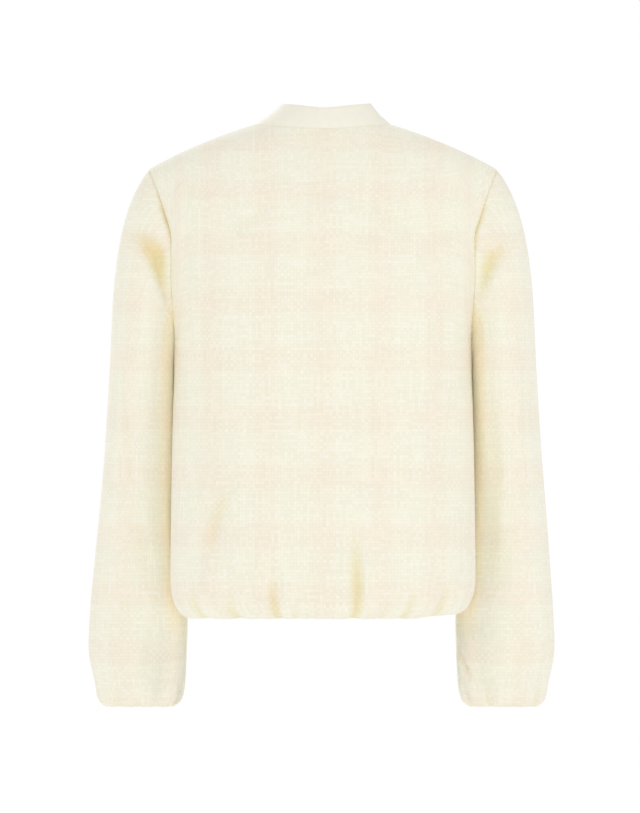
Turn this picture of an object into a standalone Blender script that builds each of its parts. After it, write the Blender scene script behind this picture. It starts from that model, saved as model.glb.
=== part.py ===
"""Cropped tweed jacket, filled out as on a wearer who isn't there.

Metres, +Z up.  The jacket faces -Y, so the wearer's left is +X.  The origin is
the middle of the neck base, level with the top of the shoulders.

The cloth is a hollow wall.  A back, two fronts and two set-in sleeves are cut
from one torso form and one sleeve form, and stand a seam's gap apart.  Hem and
cuffs are turned under and up, as a hidden elastic draws them in.  A stand
collar sits on the neck seam, and a metal zip closes the centre front.
"""
import math
from collections import namedtuple

import bpy
import bmesh
from mathutils import Vector

# ---------------------------------------------------------------- driving sizes
WALL = 0.0022               # tweed and what backs it
COLLAR_WALL = 0.0030        # the collar is cut double
SEAM_GAP = 0.0003           # between sewn pieces
HALF_GAP = SEAM_GAP / 2
ARMHOLE_HALF_GAP = 0.0002   # sideways, as the armhole's edges lie on the slant
ARMHOLE_WALL = 0.0025       # and so the wall is cut thicker there

HEM_START = -0.508          # where the body begins to roll under
UNDERARM = -0.245
SHOULDER_TIP = -0.048
NECK_SIDE = 0.0035          # height of the neck seam on the shoulder

NECK_HALF_WIDTH = 0.0764
NECK_BACK = 0.0615          # Y of the neck seam at the centre back
NECK_FRONT = -0.0790        # and at the centre front
NECK_MIDDLE = 0.0050        # Y of its widest place

COLLAR_RISE = 0.0228
COLLAR_GAP = 0.0004         # of that, how far it stands above the neck seam
COLLAR_LEAN_LEFT = 0.0300   # how far its top edge leans in
COLLAR_LEAN_RIGHT = 0.0215
COLLAR_LEAN_BACK = 0.0115
COLLAR_LEAN_FRONT = 0.0150
COLLAR_BELLY = 0.0012       # how far it rounds out halfway up, back and front
COLLAR_HOLLOW = 0.0020      # and how far it falls in there at the sides
COLLAR_BEVEL = 0.0012       # its lower edge slants up towards the inside

ARMHOLE_BACK = 0.057        # how far the armhole reaches behind the side seam
ARMHOLE_FRONT = 0.060       # and before it
FRONT_EDGE = 0.0050         # from the centre line to each front's edge

BACK_COLUMNS = 36
FRONT_COLUMNS = 15
BODY_ROWS = 7               # between the hem roll and the underarm
ARMHOLE_ROWS = 12           # on each half of an armhole
SHOULDER_ROWS = 4
CAP_ROWS = 9                # from the armhole to the upper arm
SLEEVE_ROWS = 11            # from the upper arm to the cuff roll
HEAD_FADE = 2               # rows below the armhole over which a fold fades in
COLLAR_ROWS = 3

# The torso, ring by ring.  back, front and seam are the Y of the centre back,
# the centre front and the side or shoulder seam; power squares a ring off.
Ring = namedtuple("Ring", "height half_width back front seam power")
TORSO = (
    Ring(-0.5080, 0.1735, 0.104, -0.129, -0.013, 2.6),
    Ring(-0.4400, 0.1728, 0.103, -0.129, -0.013, 2.6),
    Ring(-0.3400, 0.1712, 0.102, -0.130, -0.013, 2.6),
    Ring(-0.2450, 0.1697, 0.105, -0.131, -0.012, 2.6),
    Ring(-0.2050, 0.1780, 0.106, -0.129, -0.011, 2.5),
    Ring(-0.1650, 0.1920, 0.105, -0.122, -0.010, 2.2),
    Ring(-0.1280, 0.2045, 0.102, -0.110, -0.008, 1.9),
    Ring(-0.0970, 0.2145, 0.097, -0.096, -0.006, 1.8),
    Ring(-0.0690, 0.2125, 0.090, -0.080, -0.004, 1.75),
    Ring(-0.0550, 0.2045, 0.086, -0.072, -0.003, 1.75),
    Ring(-0.0480, 0.1970, 0.083, -0.067, -0.003, 1.8),
    Ring(-0.0375, 0.1790, 0.079, -0.060, -0.002, 1.9),
    Ring(-0.0260, 0.1550, 0.074, -0.053, 0.000, 2.0),
    Ring(-0.0148, 0.1275, 0.069, -0.045, 0.002, 2.0),
    Ring(-0.0034, 0.0985, 0.063, -0.037, 0.004, 2.0),
    Ring(0.0035, 0.0764, 0.056, -0.031, 0.005, 2.0),
    Ring(0.0120, 0.0480, 0.038, -0.018, 0.005, 2.0),
)

# A sleeve, ring by ring, on the wearer's left.
Oval = namedtuple("Oval", "height inner outer back front")
SLEEVE = (
    Oval(-0.632, 0.1535, 0.2572, -0.0590, -0.1660),
    Oval(-0.600, 0.1520, 0.2636, -0.0550, -0.1670),
    Oval(-0.560, 0.1530, 0.2630, -0.0500, -0.1640),
    Oval(-0.500, 0.1605, 0.2590, -0.0340, -0.1550),
    Oval(-0.440, 0.1662, 0.2545, -0.0140, -0.1430),
    Oval(-0.380, 0.1694, 0.2495, 0.0060, -0.1280),
    Oval(-0.320, 0.1704, 0.2455, 0.0240, -0.1130),
    Oval(-0.270, 0.1706, 0.2424, 0.0380, -0.1000),
)

# The turned-under edges: how far each ring lies inside the last full one.
Roll = namedtuple("Roll", "height inset")
HEM_ROLL = (
    Roll(-0.5350, 0.0340),
    Roll(-0.5540, 0.0310),
    Roll(-0.5585, 0.0220),
    Roll(-0.5540, 0.0125),
    Roll(-0.5450, 0.0060),
    Roll(-0.5300, 0.0015),
)
CUFF_ROLL = (
    Roll(-0.6320, 0.0225),
    Roll(-0.6540, 0.0220),
    Roll(-0.6600, 0.0155),
    Roll(-0.6570, 0.0085),
    Roll(-0.6490, 0.0030),
)

# Soft troughs.  A fold runs from its top to its bottom and fades at both ends.
# On the body, top_at and bottom_at are metres around from the panel's centre
# line, to the wearer's left; on a sleeve they are degrees round from its inner
# line by way of the back.  Bottoms below a turned edge carry on round it.
Fold = namedtuple("Fold", "top_at top bottom_at bottom width depth")
HEM_END = -0.66             # below the last of the turned hem
FADE_IN = 0.40              # shares of a fold's length over which it fades
FADE_OUT = 0.25
SIDE_FADE = 0.10            # shares of a panel's width over which folds fade
FRONT_FADE = 0.12
LEVEL_SHARE = 0.85          # at a turned edge a fold presses this nearly level
LEVEL_REACH = 0.030         # along the cloth, from where the turn begins
BACK_FOLDS = (
    Fold(0.104, -0.385, 0.146, -0.500, 0.020, 0.0040),
    Fold(-0.034, -0.430, -0.047, HEM_END, 0.013, 0.0075),
    Fold(0.056, -0.480, 0.062, HEM_END, 0.012, 0.0070),
    Fold(0.110, -0.515, 0.122, HEM_END, 0.014, 0.0080),
    Fold(0.034, -0.520, 0.038, HEM_END, 0.009, 0.0055),
    Fold(0.018, -0.530, 0.017, HEM_END, 0.009, 0.0050),
    Fold(-0.004, -0.525, -0.006, HEM_END, 0.009, 0.0040),
    Fold(-0.078, -0.520, -0.076, HEM_END, 0.011, 0.0050),
    Fold(-0.104, -0.505, -0.108, HEM_END, 0.012, 0.0060),
    Fold(-0.146, -0.495, -0.160, HEM_END, 0.016, 0.0060),
    Fold(0.158, -0.500, 0.176, HEM_END, 0.016, 0.0060),
    Fold(0.086, -0.525, 0.090, HEM_END, 0.010, 0.0045),
    Fold(0.060, -0.075, 0.120, -0.125, 0.022, 0.0020),
    Fold(-0.060, -0.075, -0.120, -0.130, 0.022, 0.0020),
)
LEFT_FRONT_FOLDS = (
    Fold(0.040, -0.470, 0.034, HEM_END, 0.012, 0.0070),
    Fold(0.068, -0.515, 0.066, HEM_END, 0.010, 0.0055),
    Fold(0.092, -0.440, 0.100, HEM_END, 0.013, 0.0075),
    Fold(0.128, -0.510, 0.130, HEM_END, 0.011, 0.0055),
    Fold(0.160, -0.490, 0.166, HEM_END, 0.014, 0.0060),
    Fold(0.110, -0.300, 0.150, -0.420, 0.022, 0.0035),
    Fold(0.150, -0.175, 0.110, -0.235, 0.018, 0.0030),
)
RIGHT_FRONT_FOLDS = (
    Fold(-0.030, -0.510, -0.032, HEM_END, 0.010, 0.0055),
    Fold(-0.058, -0.450, -0.052, HEM_END, 0.013, 0.0075),
    Fold(-0.084, -0.515, -0.086, HEM_END, 0.010, 0.0050),
    Fold(-0.112, -0.480, -0.118, HEM_END, 0.012, 0.0070),
    Fold(-0.150, -0.505, -0.156, HEM_END, 0.015, 0.0060),
    Fold(-0.120, -0.310, -0.150, -0.400, 0.022, 0.0035),
    Fold(-0.150, -0.180, -0.105, -0.240, 0.018, 0.0030),
)
CUFF_END = -0.76            # below the last of the turned cuff
LEFT_SLEEVE_FOLDS = (
    Fold(128, -0.098, 30, -0.262, 25, 0.0120),
    Fold(34, -0.230, 38, -0.560, 24, 0.0060),
    Fold(118, -0.300, 100, -0.420, 16, 0.0025),
    Fold(292, -0.285, 236, -0.330, 15, 0.0040),
    Fold(300, -0.325, 228, -0.352, 14, 0.0045),
    Fold(290, -0.375, 240, -0.398, 15, 0.0035),
    Fold(22, -0.610, 20, CUFF_END, 15, 0.0040),
    Fold(60, -0.625, 62, CUFF_END, 13, 0.0045),
    Fold(94, -0.630, 92, CUFF_END, 11, 0.0055),
    Fold(130, -0.615, 126, CUFF_END, 14, 0.0040),
    Fold(172, -0.600, 168, CUFF_END, 15, 0.0050),
    Fold(214, -0.620, 210, CUFF_END, 13, 0.0045),
    Fold(250, -0.605, 252, CUFF_END, 14, 0.0055),
    Fold(290, -0.625, 288, CUFF_END, 12, 0.0040),
    Fold(328, -0.612, 330, CUFF_END, 15, 0.0050),
)
RIGHT_SLEEVE_FOLDS = (
    Fold(124, -0.130, 60, -0.215, 20, 0.0070),
    Fold(58, -0.185, 34, -0.265, 22, 0.0070),
    Fold(48, -0.270, 50, -0.545, 24, 0.0075),
    Fold(288, -0.290, 238, -0.326, 15, 0.0040),
    Fold(298, -0.330, 230, -0.360, 14, 0.0045),
    Fold(296, -0.388, 246, -0.405, 15, 0.0035),
    Fold(6, -0.585, 44, -0.630, 12, 0.0045),
    Fold(30, -0.620, 28, CUFF_END, 14, 0.0045),
    Fold(70, -0.612, 68, CUFF_END, 15, 0.0045),
    Fold(108, -0.628, 106, CUFF_END, 12, 0.0045),
    Fold(146, -0.606, 150, CUFF_END, 14, 0.0050),
    Fold(190, -0.620, 188, CUFF_END, 13, 0.0045),
    Fold(232, -0.610, 236, CUFF_END, 15, 0.0050),
    Fold(274, -0.622, 270, CUFF_END, 12, 0.0045),
    Fold(312, -0.604, 314, CUFF_END, 14, 0.0050),
    Fold(348, -0.626, 350, CUFF_END, 12, 0.0040),
)

# The zip, in its own frame at the slider: across, up along the chain, out.
ZIP_FOOT = -0.546           # height of the chain's lower end
TAPE_BACKSET = 0.0038       # from the fronts' outer face to the tape's
TAPE_HALF_WIDTH = 0.0130
TAPE_THICKNESS = 0.0008
CHAIN_HALF_WIDTH = 0.0029
CHAIN_THICKNESS = 0.0026
ZIP_STATIONS = 24
CHAIN_HALF_GAP = 0.0002     # from the centre line to each half of the chain
CHAIN_END_STEP = 0.001      # share of the zip over which the chain stops
BARE_RISE = 0.00004         # how proud of the tape its edge is past the chain
SLIDER_HALF_WIDTH = 0.0042
SLIDER_LENGTH = 0.0096
SLIDER_THICKNESS = 0.0046
SLIDER_CORNER = 0.0014
SLIDER_DROP = 0.0040        # from the collar's top edge
CHAIN_DROP = 0.0012         # from the slider to the chain
BAIL_HALF_WIDTH = 0.0008
BAIL_REACH = 0.0034         # from the pivot to the outside of each bail leg
BAIL_THICKNESS = 0.0009
BAIL_HEIGHT = 0.0037        # above the slider's face
BAIL_SINK = 0.0010          # and how far its feet go in
BAIL_CORNER = 0.0014
PIVOT_HEIGHT = 0.0015       # above the slider's face
PULL_HALF_WIDTH = 0.0031
PULL_CORNER = 0.0006
PULL_LENGTH = 0.0300
PULL_THICKNESS = 0.0012
PULL_SLOT_HALF = 0.0016
PULL_SLOT_END = 0.0042      # from the pivot
PULL_SLOT_CORNER = 0.0003
PULL_TILT = math.radians(6.0)
BOX_HALF_WIDTH = 0.0044
BOX_LENGTH = 0.0080
BOX_THICKNESS = 0.0040
BOX_CORNER = 0.0010

TWEED = (0.91, 0.86, 0.72)
COLLAR_CLOTH = (0.91, 0.88, 0.75)
ZIP_CLOTH = (0.86, 0.82, 0.70)
METAL = (0.80, 0.70, 0.48)


# ---------------------------------------------------------------- small helpers
def smooth(value):
    """An S-shaped step from 0 to 1."""
    value = min(max(value, 0.0), 1.0)
    return value * value * (3.0 - 2.0 * value)


def between(rows, height):
    """A row of a table at any height, by a cubic through its neighbours."""
    last = len(rows) - 1
    if height <= rows[0].height:
        return rows[0]
    if height >= rows[last].height:
        return rows[last]
    i = next(k for k in range(last) if height <= rows[k + 1].height)
    low, high = rows[i], rows[i + 1]
    below, above = rows[max(i - 1, 0)], rows[min(i + 2, last)]
    span = high.height - low.height
    s = (height - low.height) / span
    values = []
    for column in range(len(low)):
        slope_low = (high[column] - below[column]) / (high.height - below.height) * span
        slope_high = (above[column] - low[column]) / (above.height - low.height) * span
        values.append((2 * s**3 - 3 * s**2 + 1) * low[column]
                      + (s**3 - 2 * s**2 + s) * slope_low
                      + (3 * s**2 - 2 * s**3) * high[column]
                      + (s**3 - s**2) * slope_high)
    return type(low)(*values)


def fold_depth(folds, at, height):
    """How far the folds press the cloth in at one place."""
    depth = 0.0
    for fold in folds:
        along = (fold.top - height) / (fold.top - fold.bottom)
        if not 0.0 < along < 1.0:
            continue
        middle = fold.top_at + (fold.bottom_at - fold.top_at) * along
        off = abs(at - middle) / fold.width
        if off < 1.0:
            ends = smooth(along / FADE_IN) * smooth((1.0 - along) / FADE_OUT)
            depth += fold.depth * ends * math.cos(off * math.pi / 2) ** 2
    return depth


def press(normal, lie, end):
    """The way a fold presses the cloth: along its normal, but nearly level past
    the end where an edge begins to turn, so the edge stays smooth."""
    level = 1.0 - LEVEL_SHARE * smooth((end - lie) / LEVEL_REACH)
    return Vector((normal.x, normal.y, normal.z * level))


# ---------------------------------------------------------------- the torso form
def torso_point(angle, height, inset=0.0):
    """A point of the torso form.  The angle is from the centre back (0), by the
    wearer's left side, to the centre front (pi)."""
    ring = between(TORSO, height)
    depth = ring.back - ring.seam if math.cos(angle) > 0 else ring.seam - ring.front
    wide = (abs(math.sin(angle)) / (ring.half_width - inset)) ** ring.power
    deep = (abs(math.cos(angle)) / (depth - inset)) ** ring.power
    radius = (wide + deep) ** (-1.0 / ring.power)
    return Vector((radius * math.sin(angle), ring.seam + radius * math.cos(angle), height))


def neck_point(angle):
    """The neck seam: an oval seen from above, laid on the torso form."""
    deep = NECK_BACK - NECK_MIDDLE if math.cos(angle) > 0 else NECK_MIDDLE - NECK_FRONT
    radius = 1.0 / math.hypot(math.sin(angle) / NECK_HALF_WIDTH, math.cos(angle) / deep)
    x, y = radius * math.sin(angle), NECK_MIDDLE + radius * math.cos(angle)
    low, high = TORSO[0].height, TORSO[-1].height
    for _ in range(40):
        height = (low + high) / 2
        ring = between(TORSO, height)
        depth = ring.back - ring.seam if y > ring.seam else ring.seam - ring.front
        outside = (abs(x) / ring.half_width) ** ring.power + (abs(y - ring.seam) / depth) ** ring.power
        if outside > 1.0:
            high = height
        else:
            low = height
    return Vector((x, y, height))


def armhole_point(turn):
    """The armhole seam.  The turn is from the underarm (0), by the back, to the
    shoulder tip (pi), and on by the front."""
    height = (SHOULDER_TIP + UNDERARM) / 2 - (SHOULDER_TIP - UNDERARM) / 2 * math.cos(turn)
    ring = between(TORSO, height)
    reach = (ARMHOLE_BACK if math.sin(turn) > 0 else ARMHOLE_FRONT) * math.sin(turn)
    depth = ring.back - ring.seam if reach > 0 else ring.seam - ring.front
    x = ring.half_width * (1.0 - (abs(reach) / depth) ** ring.power) ** (1.0 / ring.power)
    return Vector((x, ring.seam + reach, height))


def armhole_inward(turn):
    """Which way the wall's thickness runs at the armhole seam."""
    middle = (armhole_point(0.0) + armhole_point(math.pi)) / 2 - Vector((0.05, 0.0, 0.0))
    return (middle - armhole_point(turn)).normalized()


def around_body():
    """Distance round the body from the centre back, for each degree."""
    lengths = [0.0]
    for degree in range(180):
        here, there = (torso_point(math.radians(d), HEM_START) for d in (degree, degree + 1))
        lengths.append(lengths[-1] + (there - here).length)
    return lengths


AROUND = around_body()


def distance_round(angle):
    """Distance round the body from the centre back to an angle."""
    degrees = math.degrees(angle)
    whole = min(int(degrees), 179)
    return AROUND[whole] + (AROUND[whole + 1] - AROUND[whole]) * (degrees - whole)


# ---------------------------------------------------------------- cloth panels
Row = namedtuple("Row", "edge_height centre_share edge_angle inset lie armhole_turn")


def panel_rows(front):
    """The rows of a panel, hem to neck: the height at its outer edge, the share of
    the way from underarm to neck at its centre, and the angle where it ends."""
    rows = []
    lie = HEM_START - sum(
        math.hypot(a.height - b.height, a.inset - b.inset)
        for a, b in zip(HEM_ROLL, HEM_ROLL[1:] + (Roll(HEM_START, 0.0),)))
    last = HEM_ROLL[0]
    for roll in HEM_ROLL:
        lie += math.hypot(roll.height - last.height, roll.inset - last.inset)
        rows.append(Row(roll.height, None, math.pi / 2, roll.inset, lie, None))
        last = roll
    for k in range(BODY_ROWS):
        height = HEM_START + (UNDERARM - HEM_START) * k / BODY_ROWS
        rows.append(Row(height, None, math.pi / 2, 0.0, height, None))
    upper = ARMHOLE_ROWS + SHOULDER_ROWS
    for k in range(ARMHOLE_ROWS + 1):
        turn = math.pi * k / ARMHOLE_ROWS * (-1 if front else 1)
        point = armhole_point(turn)
        ring = between(TORSO, point.z)
        angle = math.atan2(point.x, abs(point.y - ring.seam))
        rows.append(Row(point.z, k / upper, angle, 0.0, None, turn))
    for k in range(1, SHOULDER_ROWS + 1):
        height = SHOULDER_TIP + (NECK_SIDE - SHOULDER_TIP) * k / SHOULDER_ROWS
        rows.append(Row(height, (ARMHOLE_ROWS + k) / upper, math.pi / 2, 0.0, None, None))
    return rows


def neck_angle(share, front):
    """Where a panel's column meets the neck seam: its angle on the neck's oval."""
    if not front:
        return math.pi / 2 * share
    start = math.asin(FRONT_EDGE / (NECK_MIDDLE - NECK_FRONT))
    return math.pi - (start + (math.pi / 2 - start) * share)


def column_angle(share, edge_angle, height, inset, front):
    """The angle of a column at one height, from the centre back."""
    if not front:
        return edge_angle * share
    ring = between(TORSO, height)
    start = math.atan2(FRONT_EDGE, ring.seam - ring.front - inset)
    return math.pi - (start + (edge_angle - start) * share)


def panel_point(row, share, side, front):
    """A point of the unfolded panel: share is 0 at its centre line and 1 at its
    outer edge.  With it come its distance round from the centre line and its
    height with the turned edge rolled out."""
    if row.centre_share is None:
        height, lean = row.edge_height, 0.0
    else:
        neck = neck_point(neck_angle(share, front))
        edge_share = (row.edge_height - UNDERARM) / (NECK_SIDE - UNDERARM)
        climb = row.centre_share + (edge_share - row.centre_share) * share**2
        height = UNDERARM + (neck.z - UNDERARM) * climb
        arrive = math.atan2(neck.x, neck.y - between(TORSO, neck.z).seam)
        lean = (arrive - column_angle(share, math.pi / 2, neck.z, 0.0, front)) * climb**2
    angle = column_angle(share, row.edge_angle, height, row.inset, front) + lean
    point = torso_point(angle, height, row.inset)
    lie = height if row.lie is None else row.lie
    around = distance_round(angle)
    if front:
        around = AROUND[-1] - around
    return Vector((point.x * side, point.y, point.z)), around * side, lie


def surface_normals(grid, across_first, across_last):
    """Outward normals of a grid of points, with the directions to use across its
    first and last columns, so that neighbouring panels agree there."""
    normals = []
    for j, line in enumerate(grid):
        above, below = grid[min(j + 1, len(grid) - 1)], grid[max(j - 1, 0)]
        out = []
        for i in range(len(line)):
            if i == 0 and across_first:
                across = across_first
            elif i == len(line) - 1 and across_last:
                across = across_last
            else:
                across = line[min(i + 1, len(line) - 1)] - line[max(i - 1, 0)]
            out.append((above[i] - below[i]).cross(across).normalized())
        normals.append(out)
    return normals


def panel(name, front, shares, sides, folds):
    """One body panel: its columns are shares on the wearer's right (-1) or left
    (+1) side, in order from the wearer's left."""
    rows = panel_rows(front)
    grid = []
    for row in rows:
        line = []
        for share, side in zip(shares, sides):
            point, around, lie = panel_point(row, share, side, front)
            line.append((point, fold_depth(folds, around, lie), share, lie))
        grid.append(line)
    plain = [[entry[0] for entry in line] for line in grid]
    to_back = Vector((0.0, -1.0 if front else 1.0, 0.0))
    first_seam = -to_back if front else to_back
    across_first = to_back if shares[0] == 1.0 else None
    across_last = -to_back if shares[-1] == 1.0 else None
    normals = surface_normals(plain, across_first, across_last)
    facing = 1.0 if normals[8][len(shares) // 2].dot(plain[8][len(shares) // 2]) > 0 else -1.0
    for j, line in enumerate(grid):
        for i, (point, depth, share, lie) in enumerate(line):
            fade = smooth((1.0 - share) / SIDE_FADE)
            if front:
                fade *= smooth(share / FRONT_FADE)
            plain[j][i] = point - press(normals[j][i] * facing, lie, HEM_START) * depth * fade
    folded = surface_normals(plain, across_first, across_last)
    outer, inner = [], []
    for j, row in enumerate(rows):
        outer_line, inner_line = [], []
        for i, (share, side) in enumerate(zip(shares, sides)):
            point = plain[j][i]
            inward = -folded[j][i] * facing
            thick = WALL
            if share == 1.0:
                if row.armhole_turn is not None:
                    inward = armhole_inward(row.armhole_turn)
                    inward.x *= side
                    point = point - Vector((ARMHOLE_HALF_GAP * side, 0.0, 0.0))
                    thick = ARMHOLE_WALL
                if row.armhole_turn is None or abs(math.sin(row.armhole_turn)) < 1e-6:
                    point = point + first_seam * (HALF_GAP if not front else -HALF_GAP)
            outer_line.append(point)
            inner_line.append(point + inward * thick)
        outer.append(outer_line)
        inner.append(inner_line)
    return solid(name, outer, inner, False, TWEED_CLOTH)


# ---------------------------------------------------------------- sleeves
def sleeve_point(turn, height, inset=0.0):
    """A point of the sleeve form below the upper arm."""
    oval = between(SLEEVE, height)
    middle = Vector(((oval.inner + oval.outer) / 2, (oval.back + oval.front) / 2, height))
    wide = (oval.outer - oval.inner) / 2 - inset
    deep = (oval.back - oval.front) / 2 - inset
    return middle + Vector((-wide * math.cos(turn), deep * math.sin(turn), 0.0))


def cap_point(turn, share):
    """A point of the sleeve head, on a curve from the armhole to the upper arm."""
    start = armhole_point(turn)
    end = sleeve_point(turn, SLEEVE[-1].height)
    reach = 0.9 * (end - start).length
    swell = abs(math.sin(turn))
    leave = Vector((0.62 + 0.18 * swell, 0.25 * math.sin(turn), -0.78 + 0.20 * swell)) * reach
    arrive = Vector((0.05, -0.26, -1.0)).normalized() * reach
    s = share
    return ((2 * s**3 - 3 * s**2 + 1) * start + (s**3 - 2 * s**2 + s) * leave
            + (3 * s**2 - 2 * s**3) * end + (s**3 - s**2) * arrive)


def sleeve(name, side, folds):
    """A sleeve: its head, its length, and the cuff turned under and up inside."""
    columns = 2 * ARMHOLE_ROWS
    turns = [2 * math.pi * k / columns for k in range(columns)]
    lines = []
    for k in range(CAP_ROWS + 1):
        share = (k / CAP_ROWS) ** 1.25
        lines.append([(cap_point(turn, share), None) for turn in turns])
    top, foot = SLEEVE[-1].height, SLEEVE[0].height
    for k in range(1, SLEEVE_ROWS + 1):
        height = top + (foot - top) * k / SLEEVE_ROWS
        lines.append([(sleeve_point(turn, height), height) for turn in turns])
    lie, last = foot, Roll(foot, 0.0)
    for roll in reversed(CUFF_ROLL):
        lie -= math.hypot(roll.height - last.height, roll.inset - last.inset)
        line = []
        for turn in turns:
            point = sleeve_point(turn, foot, roll.inset)
            line.append((Vector((point.x, point.y, roll.height)), lie))
        lines.append(line)
        last = roll
    plain = [[point for point, _ in line] for line in lines]
    normals = tube_normals(plain)
    for j, line in enumerate(lines):
        for i, (point, lie) in enumerate(line):
            lie = point.z if lie is None else lie
            degrees = math.degrees(turns[i])
            depth = sum(fold_depth(folds, degrees + wrap, lie) for wrap in (-360.0, 0.0, 360.0))
            plain[j][i] = point - press(normals[j][i], lie, foot) * depth * smooth(j / HEAD_FADE)
    normals = tube_normals(plain)
    outer, inner = [], []
    for j, line in enumerate(plain):
        outer_line, inner_line = [], []
        for i, point in enumerate(line):
            inward, thick = -normals[j][i], WALL
            if j == 0:
                inward, thick = armhole_inward(turns[i]), ARMHOLE_WALL
                point = point + Vector((ARMHOLE_HALF_GAP, 0.0, 0.0))
            outer_line.append(Vector((point.x * side, point.y, point.z)))
            end = point + inward * thick
            inner_line.append(Vector((end.x * side, end.y, end.z)))
        outer.append(outer_line)
        inner.append(inner_line)
    return solid(name, outer, inner, True, TWEED_CLOTH)


def tube_normals(grid):
    """Outward normals of a tube of points."""
    normals = []
    for j, line in enumerate(grid):
        above, below = grid[max(j - 1, 0)], grid[min(j + 1, len(grid) - 1)]
        count = len(line)
        out = []
        for i in range(count):
            across = line[(i + 1) % count] - line[i - 1]
            out.append(across.cross(above[i] - below[i]).normalized() * -1.0)
        normals.append(out)
    return normals


# ---------------------------------------------------------------- collar
def collar_point(angle, share):
    """A point of the stand collar, share 0 at the neck seam and 1 at its top."""
    foot = neck_point(angle)
    lean_deep = COLLAR_LEAN_BACK if math.cos(angle) > 0 else COLLAR_LEAN_FRONT
    lean_side = COLLAR_LEAN_LEFT if math.sin(angle) > 0 else COLLAR_LEAN_RIGHT
    lean_side *= math.sin(angle) * smooth(abs(math.sin(angle)) / 0.25)
    lean = Vector((-lean_side, -lean_deep * math.cos(angle), COLLAR_RISE))
    bulge = COLLAR_BELLY - (COLLAR_BELLY + COLLAR_HOLLOW) * math.sin(angle) ** 4
    outwards = Vector((math.sin(angle), math.cos(angle), 0.0))
    return foot + lean * share + outwards * bulge * math.sin(math.pi * share)


def collar(name):
    """The collar stands a seam's gap above the body."""
    left = [neck_angle(k / FRONT_COLUMNS, True) for k in range(FRONT_COLUMNS)]
    left += [neck_angle(2 * k / BACK_COLUMNS, False) for k in range(BACK_COLUMNS // 2, -1, -1)]
    angles = left + [-angle for angle in reversed(left[:-1])]
    outer, grid = [], []
    foot_share = COLLAR_GAP / COLLAR_RISE
    for j in range(COLLAR_ROWS + 1):
        share = foot_share + (1.0 - foot_share) * j / COLLAR_ROWS
        grid.append([collar_point(angle, share) for angle in angles])
    normals = surface_normals(grid, None, None)
    facing = 1.0 if normals[1][len(left) - 1].y > 0 else -1.0
    inner = []
    for j, (line, row) in enumerate(zip(grid, normals)):
        slant = COLLAR_BEVEL if j == 0 else 0.0
        climb = [(above - point).normalized() * slant for above, point in zip(grid[1], line)]
        outer.append(line)
        inner.append([point - normal * facing * COLLAR_WALL + up
                      for point, normal, up in zip(line, row, climb)])
    return solid(name, outer, inner, False, COLLAR_FABRIC)


# ---------------------------------------------------------------- meshes
def cloth_material(name, colour, roughness, metallic=0.0):
    """A plain material of one colour."""
    material = bpy.data.materials.new(name)
    material.use_nodes = True
    shader = material.node_tree.nodes["Principled BSDF"]
    shader.inputs["Base Color"].default_value = (*colour, 1.0)
    shader.inputs["Roughness"].default_value = roughness
    shader.inputs["Metallic"].default_value = metallic
    return material


def finish(name, mesh, material):
    """Give a mesh its material and smooth shading, and link it as an object."""
    mesh.materials.append(material)
    mesh.shade_smooth()
    mesh.set_sharp_from_angle(angle=math.radians(40))
    item = bpy.data.objects.new(name, mesh)
    bpy.context.scene.collection.objects.link(item)
    return item


def solid(name, outer, inner, closed, material):
    """A wall between an outer and an inner grid of points."""
    shape = bmesh.new()
    skins = [[[shape.verts.new(point) for point in line] for line in skin] for skin in (outer, inner)]
    rows, columns = len(outer), len(outer[0])
    steps = columns if closed else columns - 1
    for skin in skins:
        for j in range(rows - 1):
            for i in range(steps):
                k = (i + 1) % columns
                shape.faces.new((skin[j][i], skin[j][k], skin[j + 1][k], skin[j + 1][i]))
    out, back = skins
    for i in range(steps):
        k = (i + 1) % columns
        for j in (0, rows - 1):
            shape.faces.new((out[j][i], out[j][k], back[j][k], back[j][i]))
    if not closed:
        for j in range(rows - 1):
            for i in (0, columns - 1):
                shape.faces.new((out[j][i], out[j + 1][i], back[j + 1][i], back[j][i]))
    bmesh.ops.recalc_face_normals(shape, faces=shape.faces)
    mesh = bpy.data.meshes.new(name)
    shape.to_mesh(mesh)
    shape.free()
    return finish(name, mesh, material)


# ---------------------------------------------------------------- zip
def front_line(share):
    """The centre front from the zip's foot (0) to the collar's top (1): a point on
    the cloth's inner face, the way up, and the way out."""
    neck = neck_point(math.pi).z
    top = collar_point(math.pi, 1.0).z
    height = ZIP_FOOT + (top - ZIP_FOOT) * share

    def outside(level):
        if level > neck:
            return collar_point(math.pi, (level - neck) / COLLAR_RISE)
        if level < HEM_START:
            rolls = sorted(HEM_ROLL[2:], key=lambda roll: roll.height) + [Roll(HEM_START, 0.0)]
            pair = next(k for k in range(len(rolls) - 1) if level <= rolls[k + 1].height)
            low, high = rolls[pair], rolls[pair + 1]
            inset = low.inset + (high.inset - low.inset) * (level - low.height) / (high.height - low.height)
            point = torso_point(math.pi, HEM_START, inset)
            return Vector((0.0, point.y, level))
        return torso_point(math.pi, level)

    step = 0.002
    up = (outside(min(height + step, top)) - outside(height - step)).normalized()
    out = Vector((0.0, -up.z, up.y))
    return outside(height) - out * TAPE_BACKSET, up, out


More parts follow.
